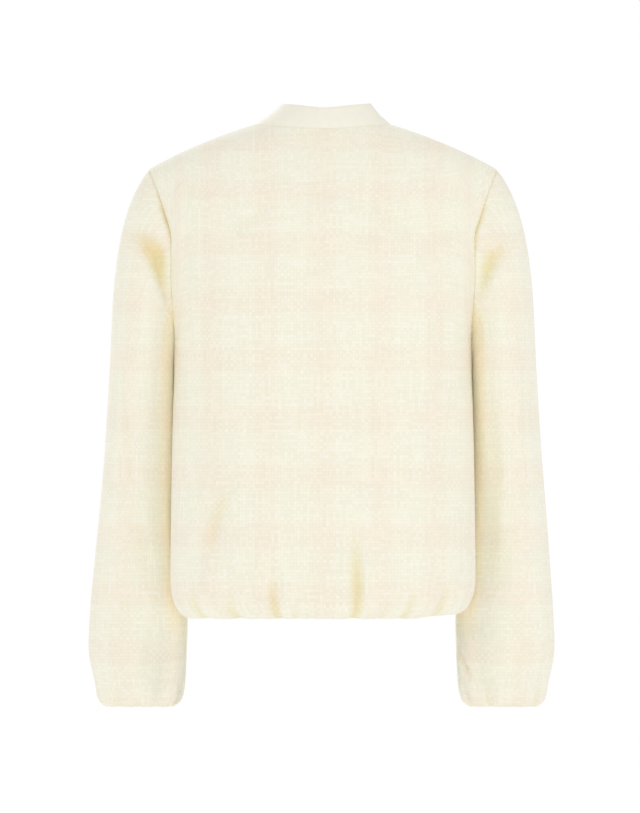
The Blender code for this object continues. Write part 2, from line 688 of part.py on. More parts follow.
def zip_tape(name, side, chain_end):
    """Half of the zip: a woven tape behind the front's edge, with its half of the
    chain as one bead that ends under the slider."""
    gap = CHAIN_HALF_GAP
    shape = bmesh.new()
    rings = []
    stations = [(chain_end * k / ZIP_STATIONS, CHAIN_THICKNESS) for k in range(ZIP_STATIONS + 1)]
    bare = chain_end + CHAIN_END_STEP
    stations += [(bare + (1.0 - bare) * k / 3, BARE_RISE) for k in range(4)]
    for share, bead in stations:
        point, _, out = front_line(share)
        profile = ((gap, -TAPE_THICKNESS), (TAPE_HALF_WIDTH, -TAPE_THICKNESS), (TAPE_HALF_WIDTH, 0.0),
                   (CHAIN_HALF_WIDTH, 0.0), (CHAIN_HALF_WIDTH, bead), (gap, bead))
        rings.append([shape.verts.new(point + Vector((x * side, 0.0, 0.0)) + out * n) for x, n in profile])
    for low, high in zip(rings, rings[1:]):
        for i in range(len(low)):
            k = (i + 1) % len(low)
            shape.faces.new((low[i], low[k], high[k], high[i]))
    shape.faces.new(rings[0])
    shape.faces.new(rings[-1])
    bmesh.ops.recalc_face_normals(shape, faces=shape.faces)
    mesh = bpy.data.meshes.new(name)
    shape.to_mesh(mesh)
    shape.free()
    return finish(name, mesh, ZIP_FABRIC)


def plate(name, outline, low, high, frame, material, hole=()):
    """An outline across the chain and up along it, extruded outwards in a frame,
    with an optional hole of as many corners."""
    origin, up, out = frame
    side = Vector((1.0, 0.0, 0.0))

    def place(x, t, n):
        return origin + side * x + up * t + out * n

    shape = bmesh.new()
    levels = []
    for n in (low, high):
        levels.append([[shape.verts.new(place(x, t, n)) for x, t in loop] for loop in (outline, hole)])
    for loop in range(2 if hole else 1):
        below, above = levels[0][loop], levels[1][loop]
        for i in range(len(below)):
            k = (i + 1) % len(below)
            shape.faces.new((below[i], below[k], above[k], above[i]))
    for level in levels:
        if hole:
            for i in range(len(outline)):
                k = (i + 1) % len(outline)
                shape.faces.new((level[0][i], level[0][k], level[1][k], level[1][i]))
        else:
            shape.faces.new(level[0])
    bmesh.ops.recalc_face_normals(shape, faces=shape.faces)
    mesh = bpy.data.meshes.new(name)
    shape.to_mesh(mesh)
    shape.free()
    return finish(name, mesh, material)


def bail(name, frame, material):
    """The arch over the slider that the pull hangs from: a hidden form that a
    Boolean joins to the slider."""
    origin, up, out = frame

    def arch(reach, rise, corner):
        return ((-reach, -BAIL_SINK), (-reach, rise - corner), (-reach + corner, rise),
                (reach - corner, rise), (reach, rise - corner), (reach, -BAIL_SINK))

    outside = arch(BAIL_REACH, BAIL_HEIGHT, BAIL_CORNER)
    inside = arch(BAIL_REACH - BAIL_THICKNESS, BAIL_HEIGHT - BAIL_THICKNESS, BAIL_CORNER - BAIL_THICKNESS / 2)
    shape = bmesh.new()
    arcs = []
    for x in (-BAIL_HALF_WIDTH, BAIL_HALF_WIDTH):
        for loop in (outside, inside):
            arcs.append([shape.verts.new(origin + Vector((x, 0.0, 0.0)) + up * t + out * n) for t, n in loop])
    left_out, left_in, right_out, right_in = arcs
    for i in range(len(outside) - 1):
        shape.faces.new((left_out[i], left_out[i + 1], left_in[i + 1], left_in[i]))
        shape.faces.new((right_out[i], right_out[i + 1], right_in[i + 1], right_in[i]))
        shape.faces.new((left_out[i], left_out[i + 1], right_out[i + 1], right_out[i]))
        shape.faces.new((left_in[i], left_in[i + 1], right_in[i + 1], right_in[i]))
    for i in (0, len(outside) - 1):
        shape.faces.new((left_out[i], left_in[i], right_in[i], right_out[i]))
    bmesh.ops.recalc_face_normals(shape, faces=shape.faces)
    mesh = bpy.data.meshes.new(name)
    shape.to_mesh(mesh)
    shape.free()
    item = finish(name, mesh, material)
    item.hide_render = True
    item.display_type = "WIRE"
    return item


def rounded(half_width, low, high, corner):
    """An eight-cornered outline across and up the chain."""
    return ((-half_width + corner, low), (half_width - corner, low), (half_width, low + corner),
            (half_width, high - corner), (half_width - corner, high), (-half_width + corner, high),
            (-half_width, high - corner), (-half_width, low + corner))


def zip_hardware():
    """The slider at the top of the chain, its pull, and the box at its foot."""
    length = (front_line(1.0)[0] - front_line(0.0)[0]).length
    share = 1.0 - (SLIDER_LENGTH / 2 + SLIDER_DROP) / length
    point, up, out = front_line(share)
    base = point + out * (SEAM_GAP + BARE_RISE)
    body = rounded(SLIDER_HALF_WIDTH, -SLIDER_LENGTH / 2, SLIDER_LENGTH / 2, SLIDER_CORNER)
    slider = plate("zip_slider", body, 0.0, SLIDER_THICKNESS, (base, up, out), ZIP_METAL)
    face = base + out * SLIDER_THICKNESS
    arch = bail("zip_bail_form", (face, up, out), ZIP_METAL)
    join = slider.modifiers.new("bail", "BOOLEAN")
    join.operation = "UNION"
    join.object = arch

    pivot = face + out * PIVOT_HEIGHT
    down = up * math.cos(PULL_TILT) + out * math.sin(PULL_TILT)
    proud = Vector((0.0, -down.z, down.y))
    half = PULL_THICKNESS / 2
    outline = rounded(PULL_HALF_WIDTH, -PULL_LENGTH, half, PULL_CORNER)
    slot = rounded(PULL_SLOT_HALF, -PULL_SLOT_END, -half, PULL_SLOT_CORNER)
    pull = plate("zip_pull", outline, -half, half, (Vector((0.0, 0.0, 0.0)), down, proud), ZIP_METAL, slot)
    pull.location = pivot

    foot, up, out = front_line(0.0)
    base = foot - up * SEAM_GAP
    plate("zip_box", rounded(BOX_HALF_WIDTH, -BOX_LENGTH, 0.0, BOX_CORNER),
          -BOX_THICKNESS / 2, BOX_THICKNESS / 2, (base, up, out), ZIP_METAL)
    return share - (SLIDER_LENGTH / 2 + CHAIN_DROP) / length


# ---------------------------------------------------------------- the jacket
for item in list(bpy.data.objects):
    bpy.data.objects.remove(item, do_unlink=True)

TWEED_CLOTH = cloth_material("tweed", TWEED, 0.95)
COLLAR_FABRIC = cloth_material("collar_cloth", COLLAR_CLOTH, 0.85)
ZIP_FABRIC = cloth_material("zip_tape_cloth", ZIP_CLOTH, 0.9)
ZIP_METAL = cloth_material("zip_metal", METAL, 0.3, 1.0)

half = BACK_COLUMNS // 2
back_shares = [abs(half - k) / half for k in range(BACK_COLUMNS + 1)]
back_sides = [1 if k <= half else -1 for k in range(BACK_COLUMNS + 1)]
panel("back", False, back_shares, back_sides, BACK_FOLDS)
front_shares = [k / FRONT_COLUMNS for k in range(FRONT_COLUMNS + 1)]
for name, side, folds in (("front_left", 1, LEFT_FRONT_FOLDS), ("front_right", -1, RIGHT_FRONT_FOLDS)):
    panel(name, True, front_shares, [side] * len(front_shares), folds)
for name, side, folds in (("sleeve_left", 1, LEFT_SLEEVE_FOLDS), ("sleeve_right", -1, RIGHT_SLEEVE_FOLDS)):
    sleeve(name, side, folds)
collar("collar")
chain_top = zip_hardware()
for name, side in (("zip_tape_left", 1), ("zip_tape_right", -1)):
    zip_tape(name, side, chain_top)
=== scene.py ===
"""Cropped tweed jacket: the looks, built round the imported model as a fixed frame.

The cloth pieces are fine shells on the same torso and sleeve forms as the
solids, with softer folds, a woven check and seams.  The zip has real teeth.
Everything is in metres; the jacket faces -Y and the wearer's left is +X.
"""
import math
from bisect import bisect
from collections import namedtuple

import bmesh
import bpy
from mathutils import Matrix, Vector


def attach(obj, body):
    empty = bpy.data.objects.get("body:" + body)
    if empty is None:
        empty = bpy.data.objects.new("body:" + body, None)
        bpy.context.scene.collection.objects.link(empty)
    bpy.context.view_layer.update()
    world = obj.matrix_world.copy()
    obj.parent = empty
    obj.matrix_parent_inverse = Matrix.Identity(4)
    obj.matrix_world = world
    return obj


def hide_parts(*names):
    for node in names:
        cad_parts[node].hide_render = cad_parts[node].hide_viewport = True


bl_info = {
    "name": "Cropped Tweed Jacket",
    "version": (1, 0, 0),
    "blender": (4, 5, 0),
    "location": "View3D > Sidebar > Jacket",
    "description": "Dresses the jacket's frame in checked tweed, with a zip and a studio",
    "category": "Object",
}

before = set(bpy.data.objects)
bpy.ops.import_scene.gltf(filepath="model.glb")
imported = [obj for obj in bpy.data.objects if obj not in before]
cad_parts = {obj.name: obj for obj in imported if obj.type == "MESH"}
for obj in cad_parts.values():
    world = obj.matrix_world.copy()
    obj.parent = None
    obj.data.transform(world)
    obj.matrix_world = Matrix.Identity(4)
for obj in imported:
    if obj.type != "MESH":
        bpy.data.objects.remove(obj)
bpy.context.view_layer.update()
JACKET = "jacket"

# ---------------------------------------------------------------- sizes of the cut
WALL = 0.0022               # tweed and what backs it
COLLAR_WALL = 0.0030        # the collar is cut double
SEAM_DIP = 0.0005           # how far the cloth sinks at a seam
CREASE_AT = {1: 118.0, -1: 112.0}       # where a body edge lies over its sleeve,
CREASE_REACH = 22.0                     # in degrees round the armhole
CREASE_DIP = {1: 0.0016, -1: 0.0013}    # and how much further the seam sinks there
SEAM_REACH = 0.0055         # and over what distance

HEM_START = -0.508          # where the body begins to roll under
UNDERARM = -0.245
SHOULDER_TIP = -0.048
NECK_SIDE = 0.0035          # height of the neck seam on the shoulder

NECK_HALF_WIDTH = 0.0764
NECK_BACK = 0.0615          # Y of the neck seam at the centre back
NECK_FRONT = -0.0790        # and at the centre front
NECK_MIDDLE = 0.0050        # Y of its widest place

COLLAR_RISE = 0.0228
COLLAR_LEAN_LEFT = 0.0300   # how far its top edge leans in
COLLAR_LEAN_RIGHT = 0.0215
COLLAR_LEAN_BACK = 0.0115
COLLAR_LEAN_FRONT = 0.0150
COLLAR_BELLY = 0.0012       # how far it rounds out halfway up, back and front
COLLAR_HOLLOW = 0.0020      # and how far it falls in there at the sides
CROWN_RISE = 0.35           # height of its rounded top edge's middle, in walls,
EDGE_RISE = 0.22            # and of that edge's two sides,
EDGE_IN = 0.15              # which stand in by this share of a wall
COLLAR_SINK = 0.0007        # how far its lowest row sinks in
COLLAR_TUCK = 0.0008        # how far its lower edge goes below the neck seam

ARMHOLE_BACK = 0.057        # how far the armhole reaches behind the side seam
ARMHOLE_FRONT = 0.060       # and before it
FRONT_EDGE = 0.0050         # from the centre line to each front's edge

BACK_COLUMNS = 36           # the solids' own grids, which the fine ones pass through
FRONT_COLUMNS = 15
BODY_ROWS = 7
ARMHOLE_ROWS = 12
SHOULDER_ROWS = 4
CAP_ROWS = 9
SLEEVE_ROWS = 11
COLLAR_ROWS = 3
FINE = 4                    # fine steps to each step of the solids' grid
FINE_COLLAR = 3

# The torso, ring by ring.  back, front and seam are the Y of the centre back,
# the centre front and the side or shoulder seam; power squares a ring off.
Ring = namedtuple("Ring", "height half_width back front seam power")
TORSO = (
    Ring(-0.5080, 0.1735, 0.104, -0.129, -0.013, 2.6),
    Ring(-0.4400, 0.1728, 0.103, -0.129, -0.013, 2.6),
    Ring(-0.3400, 0.1712, 0.102, -0.130, -0.013, 2.6),
    Ring(-0.2450, 0.1697, 0.105, -0.131, -0.012, 2.6),
    Ring(-0.2050, 0.1780, 0.106, -0.129, -0.011, 2.5),
    Ring(-0.1650, 0.1920, 0.105, -0.122, -0.010, 2.2),
    Ring(-0.1280, 0.2045, 0.102, -0.110, -0.008, 1.9),
    Ring(-0.0970, 0.2145, 0.097, -0.096, -0.006, 1.8),
    Ring(-0.0690, 0.2125, 0.090, -0.080, -0.004, 1.75),
    Ring(-0.0550, 0.2045, 0.086, -0.072, -0.003, 1.75),
    Ring(-0.0480, 0.1970, 0.083, -0.067, -0.003, 1.8),
    Ring(-0.0375, 0.1790, 0.079, -0.060, -0.002, 1.9),
    Ring(-0.0260, 0.1550, 0.074, -0.053, 0.000, 2.0),
    Ring(-0.0148, 0.1275, 0.069, -0.045, 0.002, 2.0),
    Ring(-0.0034, 0.0985, 0.063, -0.037, 0.004, 2.0),
    Ring(0.0035, 0.0764, 0.056, -0.031, 0.005, 2.0),
    Ring(0.0120, 0.0480, 0.038, -0.018, 0.005, 2.0),
)

# A sleeve, ring by ring, on the wearer's left.
Oval = namedtuple("Oval", "height inner outer back front")
SLEEVE = (
    Oval(-0.632, 0.1535, 0.2572, -0.0590, -0.1660),
    Oval(-0.600, 0.1520, 0.2636, -0.0550, -0.1670),
    Oval(-0.560, 0.1530, 0.2630, -0.0500, -0.1640),
    Oval(-0.500, 0.1605, 0.2590, -0.0340, -0.1550),
    Oval(-0.440, 0.1662, 0.2545, -0.0140, -0.1430),
    Oval(-0.380, 0.1694, 0.2495, 0.0060, -0.1280),
    Oval(-0.320, 0.1704, 0.2455, 0.0240, -0.1130),
    Oval(-0.270, 0.1706, 0.2424, 0.0380, -0.1000),
)

# The turned-under edges: how far each ring lies inside the last full one.
Roll = namedtuple("Roll", "height inset")
HEM_ROLL = (
    Roll(-0.5350, 0.0340),
    Roll(-0.5540, 0.0310),
    Roll(-0.5585, 0.0220),
    Roll(-0.5540, 0.0125),
    Roll(-0.5450, 0.0060),
    Roll(-0.5300, 0.0015),
)
CUFF_ROLL = (
    Roll(-0.6320, 0.0225),
    Roll(-0.6540, 0.0220),
    Roll(-0.6600, 0.0155),
    Roll(-0.6570, 0.0085),
    Roll(-0.6490, 0.0030),
)

# Soft troughs, or ridges where the depth is negative.  A fold runs from its top
# to its bottom and fades at both ends.  On the body, top_at and bottom_at are
# metres around from the panel's centre line, to the wearer's left; on a sleeve
# they are degrees round from its inner line by way of the back.
Fold = namedtuple("Fold", "top_at top bottom_at bottom width depth")
FADE_IN = 0.40              # shares of a fold's length over which it fades
FADE_OUT = 0.25
SIDE_FADE = 0.10            # shares of a panel's width over which folds fade
FRONT_FADE = 0.12
HEAD_FADE = 2               # steps below the armhole over which a fold fades in
LEVEL_SHARE = 0.85          # at a turned edge a fold presses this nearly level
LEVEL_REACH = 0.030         # along the cloth, from where the turn begins
FULL_SHADE = 0.011          # a fold this deep gets the full painted shade, as warm and dark as any
SEAM_SHADE = 0.22           # how much of that painted shade a seam has
TUCK_SHADE = {1: 0.45, -1: 0.52}    # how much painted shade the tucked strip has
TUCK_PAINTED_LIGHT = 0.15            # how much the colour is painted paler there: painted light where little light gets in
TUCK_AT = 34.0              # the strip's place, in degrees round from the inner line
TUCK_STRIP = (0.88, 0.12)   # the cosine of the turn to its edge, and its fade
TUCK_TOP = -0.165           # heights at which its painted shade begins and ends
TUCK_END = -0.600
INNER_POWER = 2.4           # how square a sleeve is on the side that lies there
TUCK_IN = 0.0030            # how far it passes behind the body's edge there,
TUCK_FROM = UNDERARM + 0.03     # from this height down,
TUCK_FADE = (25.0, 65.0)    # and between which degrees that fades
SOFT_AT = 26.0              # the same for the strip whose shading normals turn, and whose colour gets that painted light
SOFT_STRIP = (0.80, 0.20)
SOFT_END = -0.700           # height down to which it is
SOFTEN = 2.5                # how far the cloth there turns its face to the back
LEFT_SWING = 0.0035         # how far the left forearm stands out
SWING_FROM = -0.400         # below this height
HEM_LIFT = 0.0050           # how much higher the hem hangs at the wearer's right,
LIFT_FROM = -0.09           # past this X
HEM = -660                  # below the last of the turned hem, in millimetres
CUFF = -760                 # below the last of the turned cuff


def fold_rows(around, *rows):
    """Folds from rows of whole numbers, in a Fold's order.  Heights are in millimetres
    and depths in tenths of one.  The rest is in millimetres on the body, where around
    is 1000, and in degrees on a sleeve, where it is 1."""
    return [Fold(top_at / around, top / 1000, bottom_at / around, bottom / 1000,
                 width / around, depth / 10000)
            for top_at, top, bottom_at, bottom, width, depth in rows]


FOLDS = {
    "back": fold_rows(
        1000,
        (104, -385, 146, -500, 20, 40), (-34, -430, -47, HEM, 13, 75),
        (56, -480, 62, HEM, 12, 70), (110, -515, 122, HEM, 14, 80),
        (34, -520, 38, HEM, 9, 55), (18, -530, 17, HEM, 9, 50),
        (-4, -525, -6, HEM, 9, 40), (-78, -520, -76, HEM, 11, 50),
        (-104, -505, -108, HEM, 12, 60), (-146, -495, -160, HEM, 16, 60),
        (158, -500, 176, HEM, 16, 60), (86, -525, 90, HEM, 10, 45),
        (60, -75, 120, -125, 22, 20), (-60, -75, -120, -130, 22, 20),
        (-22, -470, -30, HEM, 7, -20), (74, -500, 78, HEM, 7, -18),
        (128, -470, 150, -560, 12, -20), (98, -530, 103, HEM, 5, -20),
        (-62, -520, -64, HEM, 6, -18), (-92, -525, -90, HEM, 6, -16),
        (-128, -510, -134, HEM, 8, -18), (150, -165, 135, -300, 16, 16),
        (-150, -170, -138, -290, 16, 14), (160, -250, 110, -330, 14, 12),
        (-165, -240, -105, -350, 14, 12),
    ),
    "front_left": fold_rows(
        1000,
        (40, -470, 34, HEM, 12, 70), (68, -515, 66, HEM, 10, 55),
        (92, -440, 100, HEM, 13, 75), (128, -510, 130, HEM, 11, 55),
        (160, -490, 166, HEM, 14, 60), (110, -300, 150, -420, 22, 35),
        (150, -175, 110, -235, 18, 30), (54, -520, 50, HEM, 7, -18),
        (112, -500, 115, HEM, 7, -20), (160, -250, 80, -290, 14, 16),
    ),
    "front_right": fold_rows(
        1000,
        (-30, -510, -32, HEM, 10, 55), (-58, -450, -52, HEM, 13, 75),
        (-84, -515, -86, HEM, 10, 50), (-112, -480, -118, HEM, 12, 70),
        (-150, -505, -156, HEM, 15, 60), (-120, -310, -150, -400, 22, 35),
        (-150, -180, -105, -240, 18, 30), (-70, -500, -70, HEM, 7, -20),
        (-132, -500, -134, HEM, 7, -18), (-160, -255, -85, -300, 14, 16),
    ),
    "sleeve_left": fold_rows(
        1,
        (150, -100, 4, -235, 25, 120), (118, -300, 100, -420, 16, 25),
        (34, -380, 26, -580, 18, 28), (320, -262, 222, -338, 13, 45),
        (322, -310, 216, -362, 12, 45), (310, -366, 228, -405, 13, 35),
        (22, -610, 20, CUFF, 15, 40), (60, -625, 62, CUFF, 13, 45),
        (94, -630, 92, CUFF, 11, 55), (130, -615, 126, CUFF, 14, 40),
        (172, -600, 168, CUFF, 15, 50), (214, -620, 210, CUFF, 13, 45),
        (250, -605, 252, CUFF, 14, 55), (290, -625, 288, CUFF, 12, 40),
        (328, -612, 330, CUFF, 15, 50), (112, -95, 84, -165, 10, 22),
        (96, -420, 72, -520, 16, 20), (78, -560, 92, -640, 9, -16),
        (150, -470, 120, -560, 18, 14), (170, -240, 140, -330, 18, 14),
    ),
    "sleeve_right": fold_rows(
        1,
        (132, -120, 40, -205, 22, 80), (50, -190, 36, -265, 20, 18),
        (66, -290, 70, -545, 20, 30), (316, -268, 224, -336, 13, 45),
        (322, -318, 218, -370, 12, 45), (312, -378, 232, -412, 13, 35),
        (6, -585, 44, -630, 12, 45), (30, -620, 28, CUFF, 14, 45),
        (70, -612, 68, CUFF, 15, 45), (108, -628, 106, CUFF, 12, 45),
        (146, -606, 150, CUFF, 14, 50), (190, -620, 188, CUFF, 13, 45),
        (232, -610, 236, CUFF, 15, 50), (274, -622, 270, CUFF, 12, 45),
        (312, -604, 314, CUFF, 14, 50), (348, -626, 350, CUFF, 12, 40),
        (118, -95, 92, -150, 10, 18), (92, -400, 84, -545, 14, 18),
        (120, -560, 96, -640, 12, 16), (160, -260, 130, -350, 18, 14),
        (168, -430, 150, -540, 18, 14),
    ),
}

WAVER = 0.0022              # how far the threads stray within a centimetre,
DRIFT = 0.0020              # and within ten
CHECK_SHIFT = 0.0655
BAND_EDGE = 0.12            # how softly a band ends
BAND_MINGLE = 0.65          # share of a band's colour that crossing threads take on
WARP_RUN = 7.0              # stitches after which an upright thread's tone changes,
WEFT_RUN = 9.0              # and after which a level one's does

LIGHTS = (                  # name, place, power and size
    ("key", (2.2, 4.6, 0.8), 27.0, 1.3),
    ("side", (-3.0, 1.8, 0.8), 12.0, 1.4),
    ("front", (1.4, -4.6, 2.2), 55.0, 1.3),
)
LIT_POINT = Vector((0.0, 0.0, -0.3))
VIEW_SCALE = 880.0          # pixels to a metre, in a view of 640 by 813 pixels
VIEW_HEIGHT = 813.0 / VIEW_SCALE
# the view's middle, where the frame's origin shows at the pixel 323, 127
VIEW_MIDDLE = ((323.0 - 640.0 / 2) / VIEW_SCALE, 0.0, (127.0 - 813.0 / 2) / VIEW_SCALE)

ZIP_FOOT = -0.546           # height of the chain's lower end
TAPE_BACKSET = 0.0038       # from the fronts' outer face to the tape's
TAPE_HALF_WIDTH = 0.0130
TAPE_THICKNESS = 0.0008
TAPE_PARTING = 0.0003       # from the centre line to each tape's edge
CORD_RISE = 0.00045         # how far the tape's corded edge stands out
SLIDER_LENGTH = 0.0096
SLIDER_DROP = 0.004         # from the collar's top edge to the slider,
CHAIN_DROP = 0.0012         # and from the slider to the chain
TOOTH_SIZE = (0.0030, 0.0024, 0.0011)
TOOTH_HEAD = 0.00075        # radius of a tooth's rounded end
TOOTH_ASIDE = 0.0015        # from the centre line to a tooth's middle,
TOOTH_OUT = 0.0014          # and from the tape's outer face
ZIP_STATIONS = 120


# ---------------------------------------------------------------- settings
def length_setting(name, description, length, least, precision=4):
    """A length that a user would change."""
    return bpy.props.FloatProperty(name=name, description=description, default=length,
                                   min=least, unit="LENGTH", precision=precision)


def colour_setting(name, description, colour):
    """A colour that a user would change."""
    return bpy.props.FloatVectorProperty(name=name, description=description, subtype="COLOR",
                                         default=colour, min=0.0, max=1.0)


class JacketSettings(bpy.types.PropertyGroup):
    """What a user would change."""

    check_repeat: length_setting("Check repeat", "Distance from one peach band to the next", 0.0665, 0.01)
    band_width: length_setting("Band width", "Width of a peach band", 0.026, 0.004)
    thread_pitch: length_setting(
        "Thread pitch", "Distance between neighbouring threads of the tweed", 0.0037, 0.001)
    cream: colour_setting("Cream", "The ground of the check", (0.900, 0.876, 0.732))
    peach: colour_setting("Peach", "The bands of the check", (0.905, 0.832, 0.690))
    # the colour of the painted shade in folds, at seams and on the sleeves' strips by the body
    painted_fold_shade: colour_setting(
        "Painted fold shade", "What the cloth's colour is multiplied by deep in a fold", (0.93, 0.84, 0.58))
    pale_thread: colour_setting("Pale thread", "The white fleck threads", (0.94, 0.94, 0.96))
    collar_colour: colour_setting("Collar", "The smooth collar cloth", (0.905, 0.875, 0.755))
    tape_colour: colour_setting("Zip tape", "The zip's woven tape", (0.80, 0.76, 0.62))
    metal_colour: colour_setting("Zip metal", "Teeth, slider and pull", (0.83, 0.70, 0.43))
    tooth_pitch: length_setting("Tooth pitch", "Distance between teeth on one tape", 0.0026, 0.001)
    camera_distance: length_setting(
        "Camera distance", "From the camera to the jacket's middle", 30.0, 1.0, 2)


def settings():
    """The scene's settings."""
    return bpy.context.scene.jacket


# ---------------------------------------------------------------- small helpers
def smooth(value):
    """An S-shaped step from 0 to 1."""
    value = min(max(value, 0.0), 1.0)
    return value * value * (3.0 - 2.0 * value)


def hermite(low, leave, high, arrive, s):
    """A cubic from low to high, with the slopes with which it leaves and arrives."""
    return ((2 * s**3 - 3 * s**2 + 1) * low + (s**3 - 2 * s**2 + s) * leave
            + (3 * s**2 - 2 * s**3) * high + (s**3 - s**2) * arrive)


def half_depth(ring, behind):
    """How far a torso ring reaches behind its seam, or before it."""
    return ring.back - ring.seam if behind else ring.seam - ring.front


def flipped(point, side):
    """A point of the left side, or its mirror image on the right."""
    return Vector((point.x * side, point.y, point.z))


def inside(grid, normals, wall):
    """The inner side of a wall."""
    return [[point - normal * wall for point, normal in zip(line, row)]
            for line, row in zip(grid, normals)]


def roll_step(roll, last):
    """How much cloth lies between two rings of a turned edge."""
    return math.hypot(roll.height - last.height, roll.inset - last.inset)


def between(rows, height):
    """A row of a table at any height, by a cubic through its neighbours."""
    last = len(rows) - 1
    if height <= rows[0].height:
        return rows[0]
    if height >= rows[last].height:
        return rows[last]
    i = next(k for k in range(last) if height <= rows[k + 1].height)
    low, high = rows[i], rows[i + 1]
    below, above = rows[max(i - 1, 0)], rows[min(i + 2, last)]
    span = high.height - low.height
    s = (height - low.height) / span
    values = []
    for column in range(len(low)):
        slope_low = (high[column] - below[column]) / (high.height - below.height) * span
        slope_high = (above[column] - low[column]) / (above.height - low.height) * span
        values.append(hermite(low[column], slope_low, high[column], slope_high, s))
    return type(low)(*values)


def fold_depth(folds, at, height):
    """How far the folds press the cloth in at one place."""
    depth = 0.0
    for fold in folds:
        along = (fold.top - height) / (fold.top - fold.bottom)
        if not 0.0 < along < 1.0:
            continue
        middle = fold.top_at + (fold.bottom_at - fold.top_at) * along
        off = abs(at - middle) / fold.width
        if off < 1.0:
            ends = smooth(along / FADE_IN) * smooth((1.0 - along) / FADE_OUT)
            depth += fold.depth * ends * math.cos(off * math.pi / 2) ** 2
    return depth


def press(normal, lie, end):
    """The way a fold presses the cloth: its normal, and nearly level at a turned edge."""
    level = 1.0 - LEVEL_SHARE * smooth((end - lie) / LEVEL_REACH)
    return Vector((normal.x, normal.y, normal.z * level))


def spline(before, low, high, after, s):
    """A Catmull-Rom curve between two values, or two points."""
    return ((low * 2.0) + (high - before) * s + (before * 2.0 - low * 5.0 + high * 4.0 - after) * s**2
            + (low * 3.0 - before - high * 3.0 + after) * s**3) * 0.5


def refine(items, steps, closed=False):
    """More items along a list of values or points, on a smooth curve through them."""
    count = len(items)
    spans = count if closed else count - 1
    fine = []
    for i in range(spans):
        if closed:
            near = [items[(i + k) % count] for k in (-1, 0, 1, 2)]
        else:
            near = [items[min(max(i + k, 0), count - 1)] for k in (-1, 0, 1, 2)]
            if i == 0:
                near[0] = near[1] * 2.0 - near[2]
            if i == spans - 1:
                near[3] = near[2] * 2.0 - near[1]
        fine += [spline(*near, k / steps) for k in range(steps)]
    if not closed:
        fine.append(items[-1])
    return fine


def refine_grid(grid, rows, columns, closed=False):
    """A finer grid through a coarse one."""
    wide = [refine(line, columns, closed) for line in grid]
    tall = [refine([line[i] for line in wide], rows) for i in range(len(wide[0]))]
    return [[column[j] for column in tall] for j in range(len(tall[0]))]


# ---------------------------------------------------------------- node trees
class Value:
    """A number in a node tree, so that sums of such numbers can be written plainly."""

    def __init__(self, wires, socket):
        self.wires = wires
        self.socket = socket

    def __add__(self, other):
        return self.wires.math("ADD", self, other)

    def __sub__(self, other):
        return self.wires.math("SUBTRACT", self, other)

    def __mul__(self, other):
        return self.wires.math("MULTIPLY", self, other)

    def __truediv__(self, other):
        return self.wires.math("DIVIDE", self, other)

    def scaled(self, by, plus):
        """The number times one value, plus another."""
        return self.wires.math("MULTIPLY_ADD", self, by, plus)


class Wires:
    """Short ways to add and join nodes."""

    def __init__(self, tree):
        self.tree = tree

    def put(self, source, socket):
        """Join a source to a socket, or set the socket to a plain value."""
        if isinstance(source, (int, float, tuple)):
            socket.default_value = source
        else:
            self.tree.links.new(getattr(source, "socket", source), socket)

    def feed(self, node, feeds):
        """Put a source into each of a node's inputs that are named, or numbered."""
        for name, source in feeds.items():
            self.put(source, node.inputs[name])

    def node(self, kind, feeds=None, **traits):
        """A new node, with its traits set before its inputs are fed."""
        made = self.tree.nodes.new(kind)
        for name, trait in traits.items():
            setattr(made, name, trait)
        self.feed(made, feeds or {})
        return made

    def outs(self, kind, feeds=None, **traits):
        """The outputs of a new node."""
        return [Value(self, socket) for socket in self.node(kind, feeds, **traits).outputs]

    def math(self, operation, *values):
        return self.outs("ShaderNodeMath", dict(enumerate(values)), operation=operation)[0]

    def mix(self, factor, first, second, blend="MIX"):
        return self.outs("ShaderNodeMix", {"Factor": factor, 6: first, 7: second},
                         data_type="RGBA", blend_type=blend)[2]

    def times(self, colour, value):
        """A colour times a number."""
        grey = self.outs("ShaderNodeCombineXYZ", {0: value, 1: value, 2: value})[0]
        return self.mix(1.0, colour, grey, "MULTIPLY")

    def blend(self, factor, first, second):
        return self.outs("ShaderNodeMix", {"Factor": factor, 2: first, 3: second}, data_type="FLOAT")[0]

    def step(self, value, low, high):
        """A smooth step from 0 at low to 1 at high."""
        return self.outs("ShaderNodeMapRange", {"Value": value, "From Min": low, "From Max": high},
                         interpolation_type="SMOOTHSTEP")[0]

    def noise(self, vector, scale, detail=2.0):
        return self.outs("ShaderNodeTexNoise", {"Vector": vector, "Scale": scale, "Detail": detail})[0]

    def chance(self, x, y, z=0.0):
        """A random number for each whole place."""
        place_on = self.outs("ShaderNodeCombineXYZ", {0: x, 1: y, 2: z})[0]
        return self.outs("ShaderNodeTexWhiteNoise", {"Vector": place_on}, noise_dimensions="3D")[0]

    def bump(self, height, strength, distance):
        """Normals from a relief."""
        return self.outs("ShaderNodeBump", {"Strength": strength, "Distance": distance, "Height": height})[0]

    def uv(self, name):
        return self.outs("ShaderNodeUVMap", uv_map=name)[0]


def add_sockets(tree, way, kind, *names):
    """Give a node group sockets of one kind."""
    for name in names:
        tree.interface.new_socket(name, in_out=way, socket_type="NodeSocket" + kind)


def aimed(way):
    """The turn that points a lamp or a camera that way."""
    return way.to_track_quat("-Z", "Y").to_euler()


def new_item(name, data):
    """A new object, linked to the scene."""
    item = bpy.data.objects.new(name, data)
    bpy.context.scene.collection.objects.link(item)
    return item


# ---------------------------------------------------------------- the torso form
def torso_point(angle, height, inset=0.0):
    """A point of the torso form.  The angle is from the centre back (0), by the
    wearer's left side, to the centre front (pi)."""
    ring = between(TORSO, height)
    depth = half_depth(ring, math.cos(angle) > 0)
    wide = (abs(math.sin(angle)) / (ring.half_width - inset)) ** ring.power
    deep = (abs(math.cos(angle)) / (depth - inset)) ** ring.power
    radius = (wide + deep) ** (-1.0 / ring.power)
    return Vector((radius * math.sin(angle), ring.seam + radius * math.cos(angle), height))


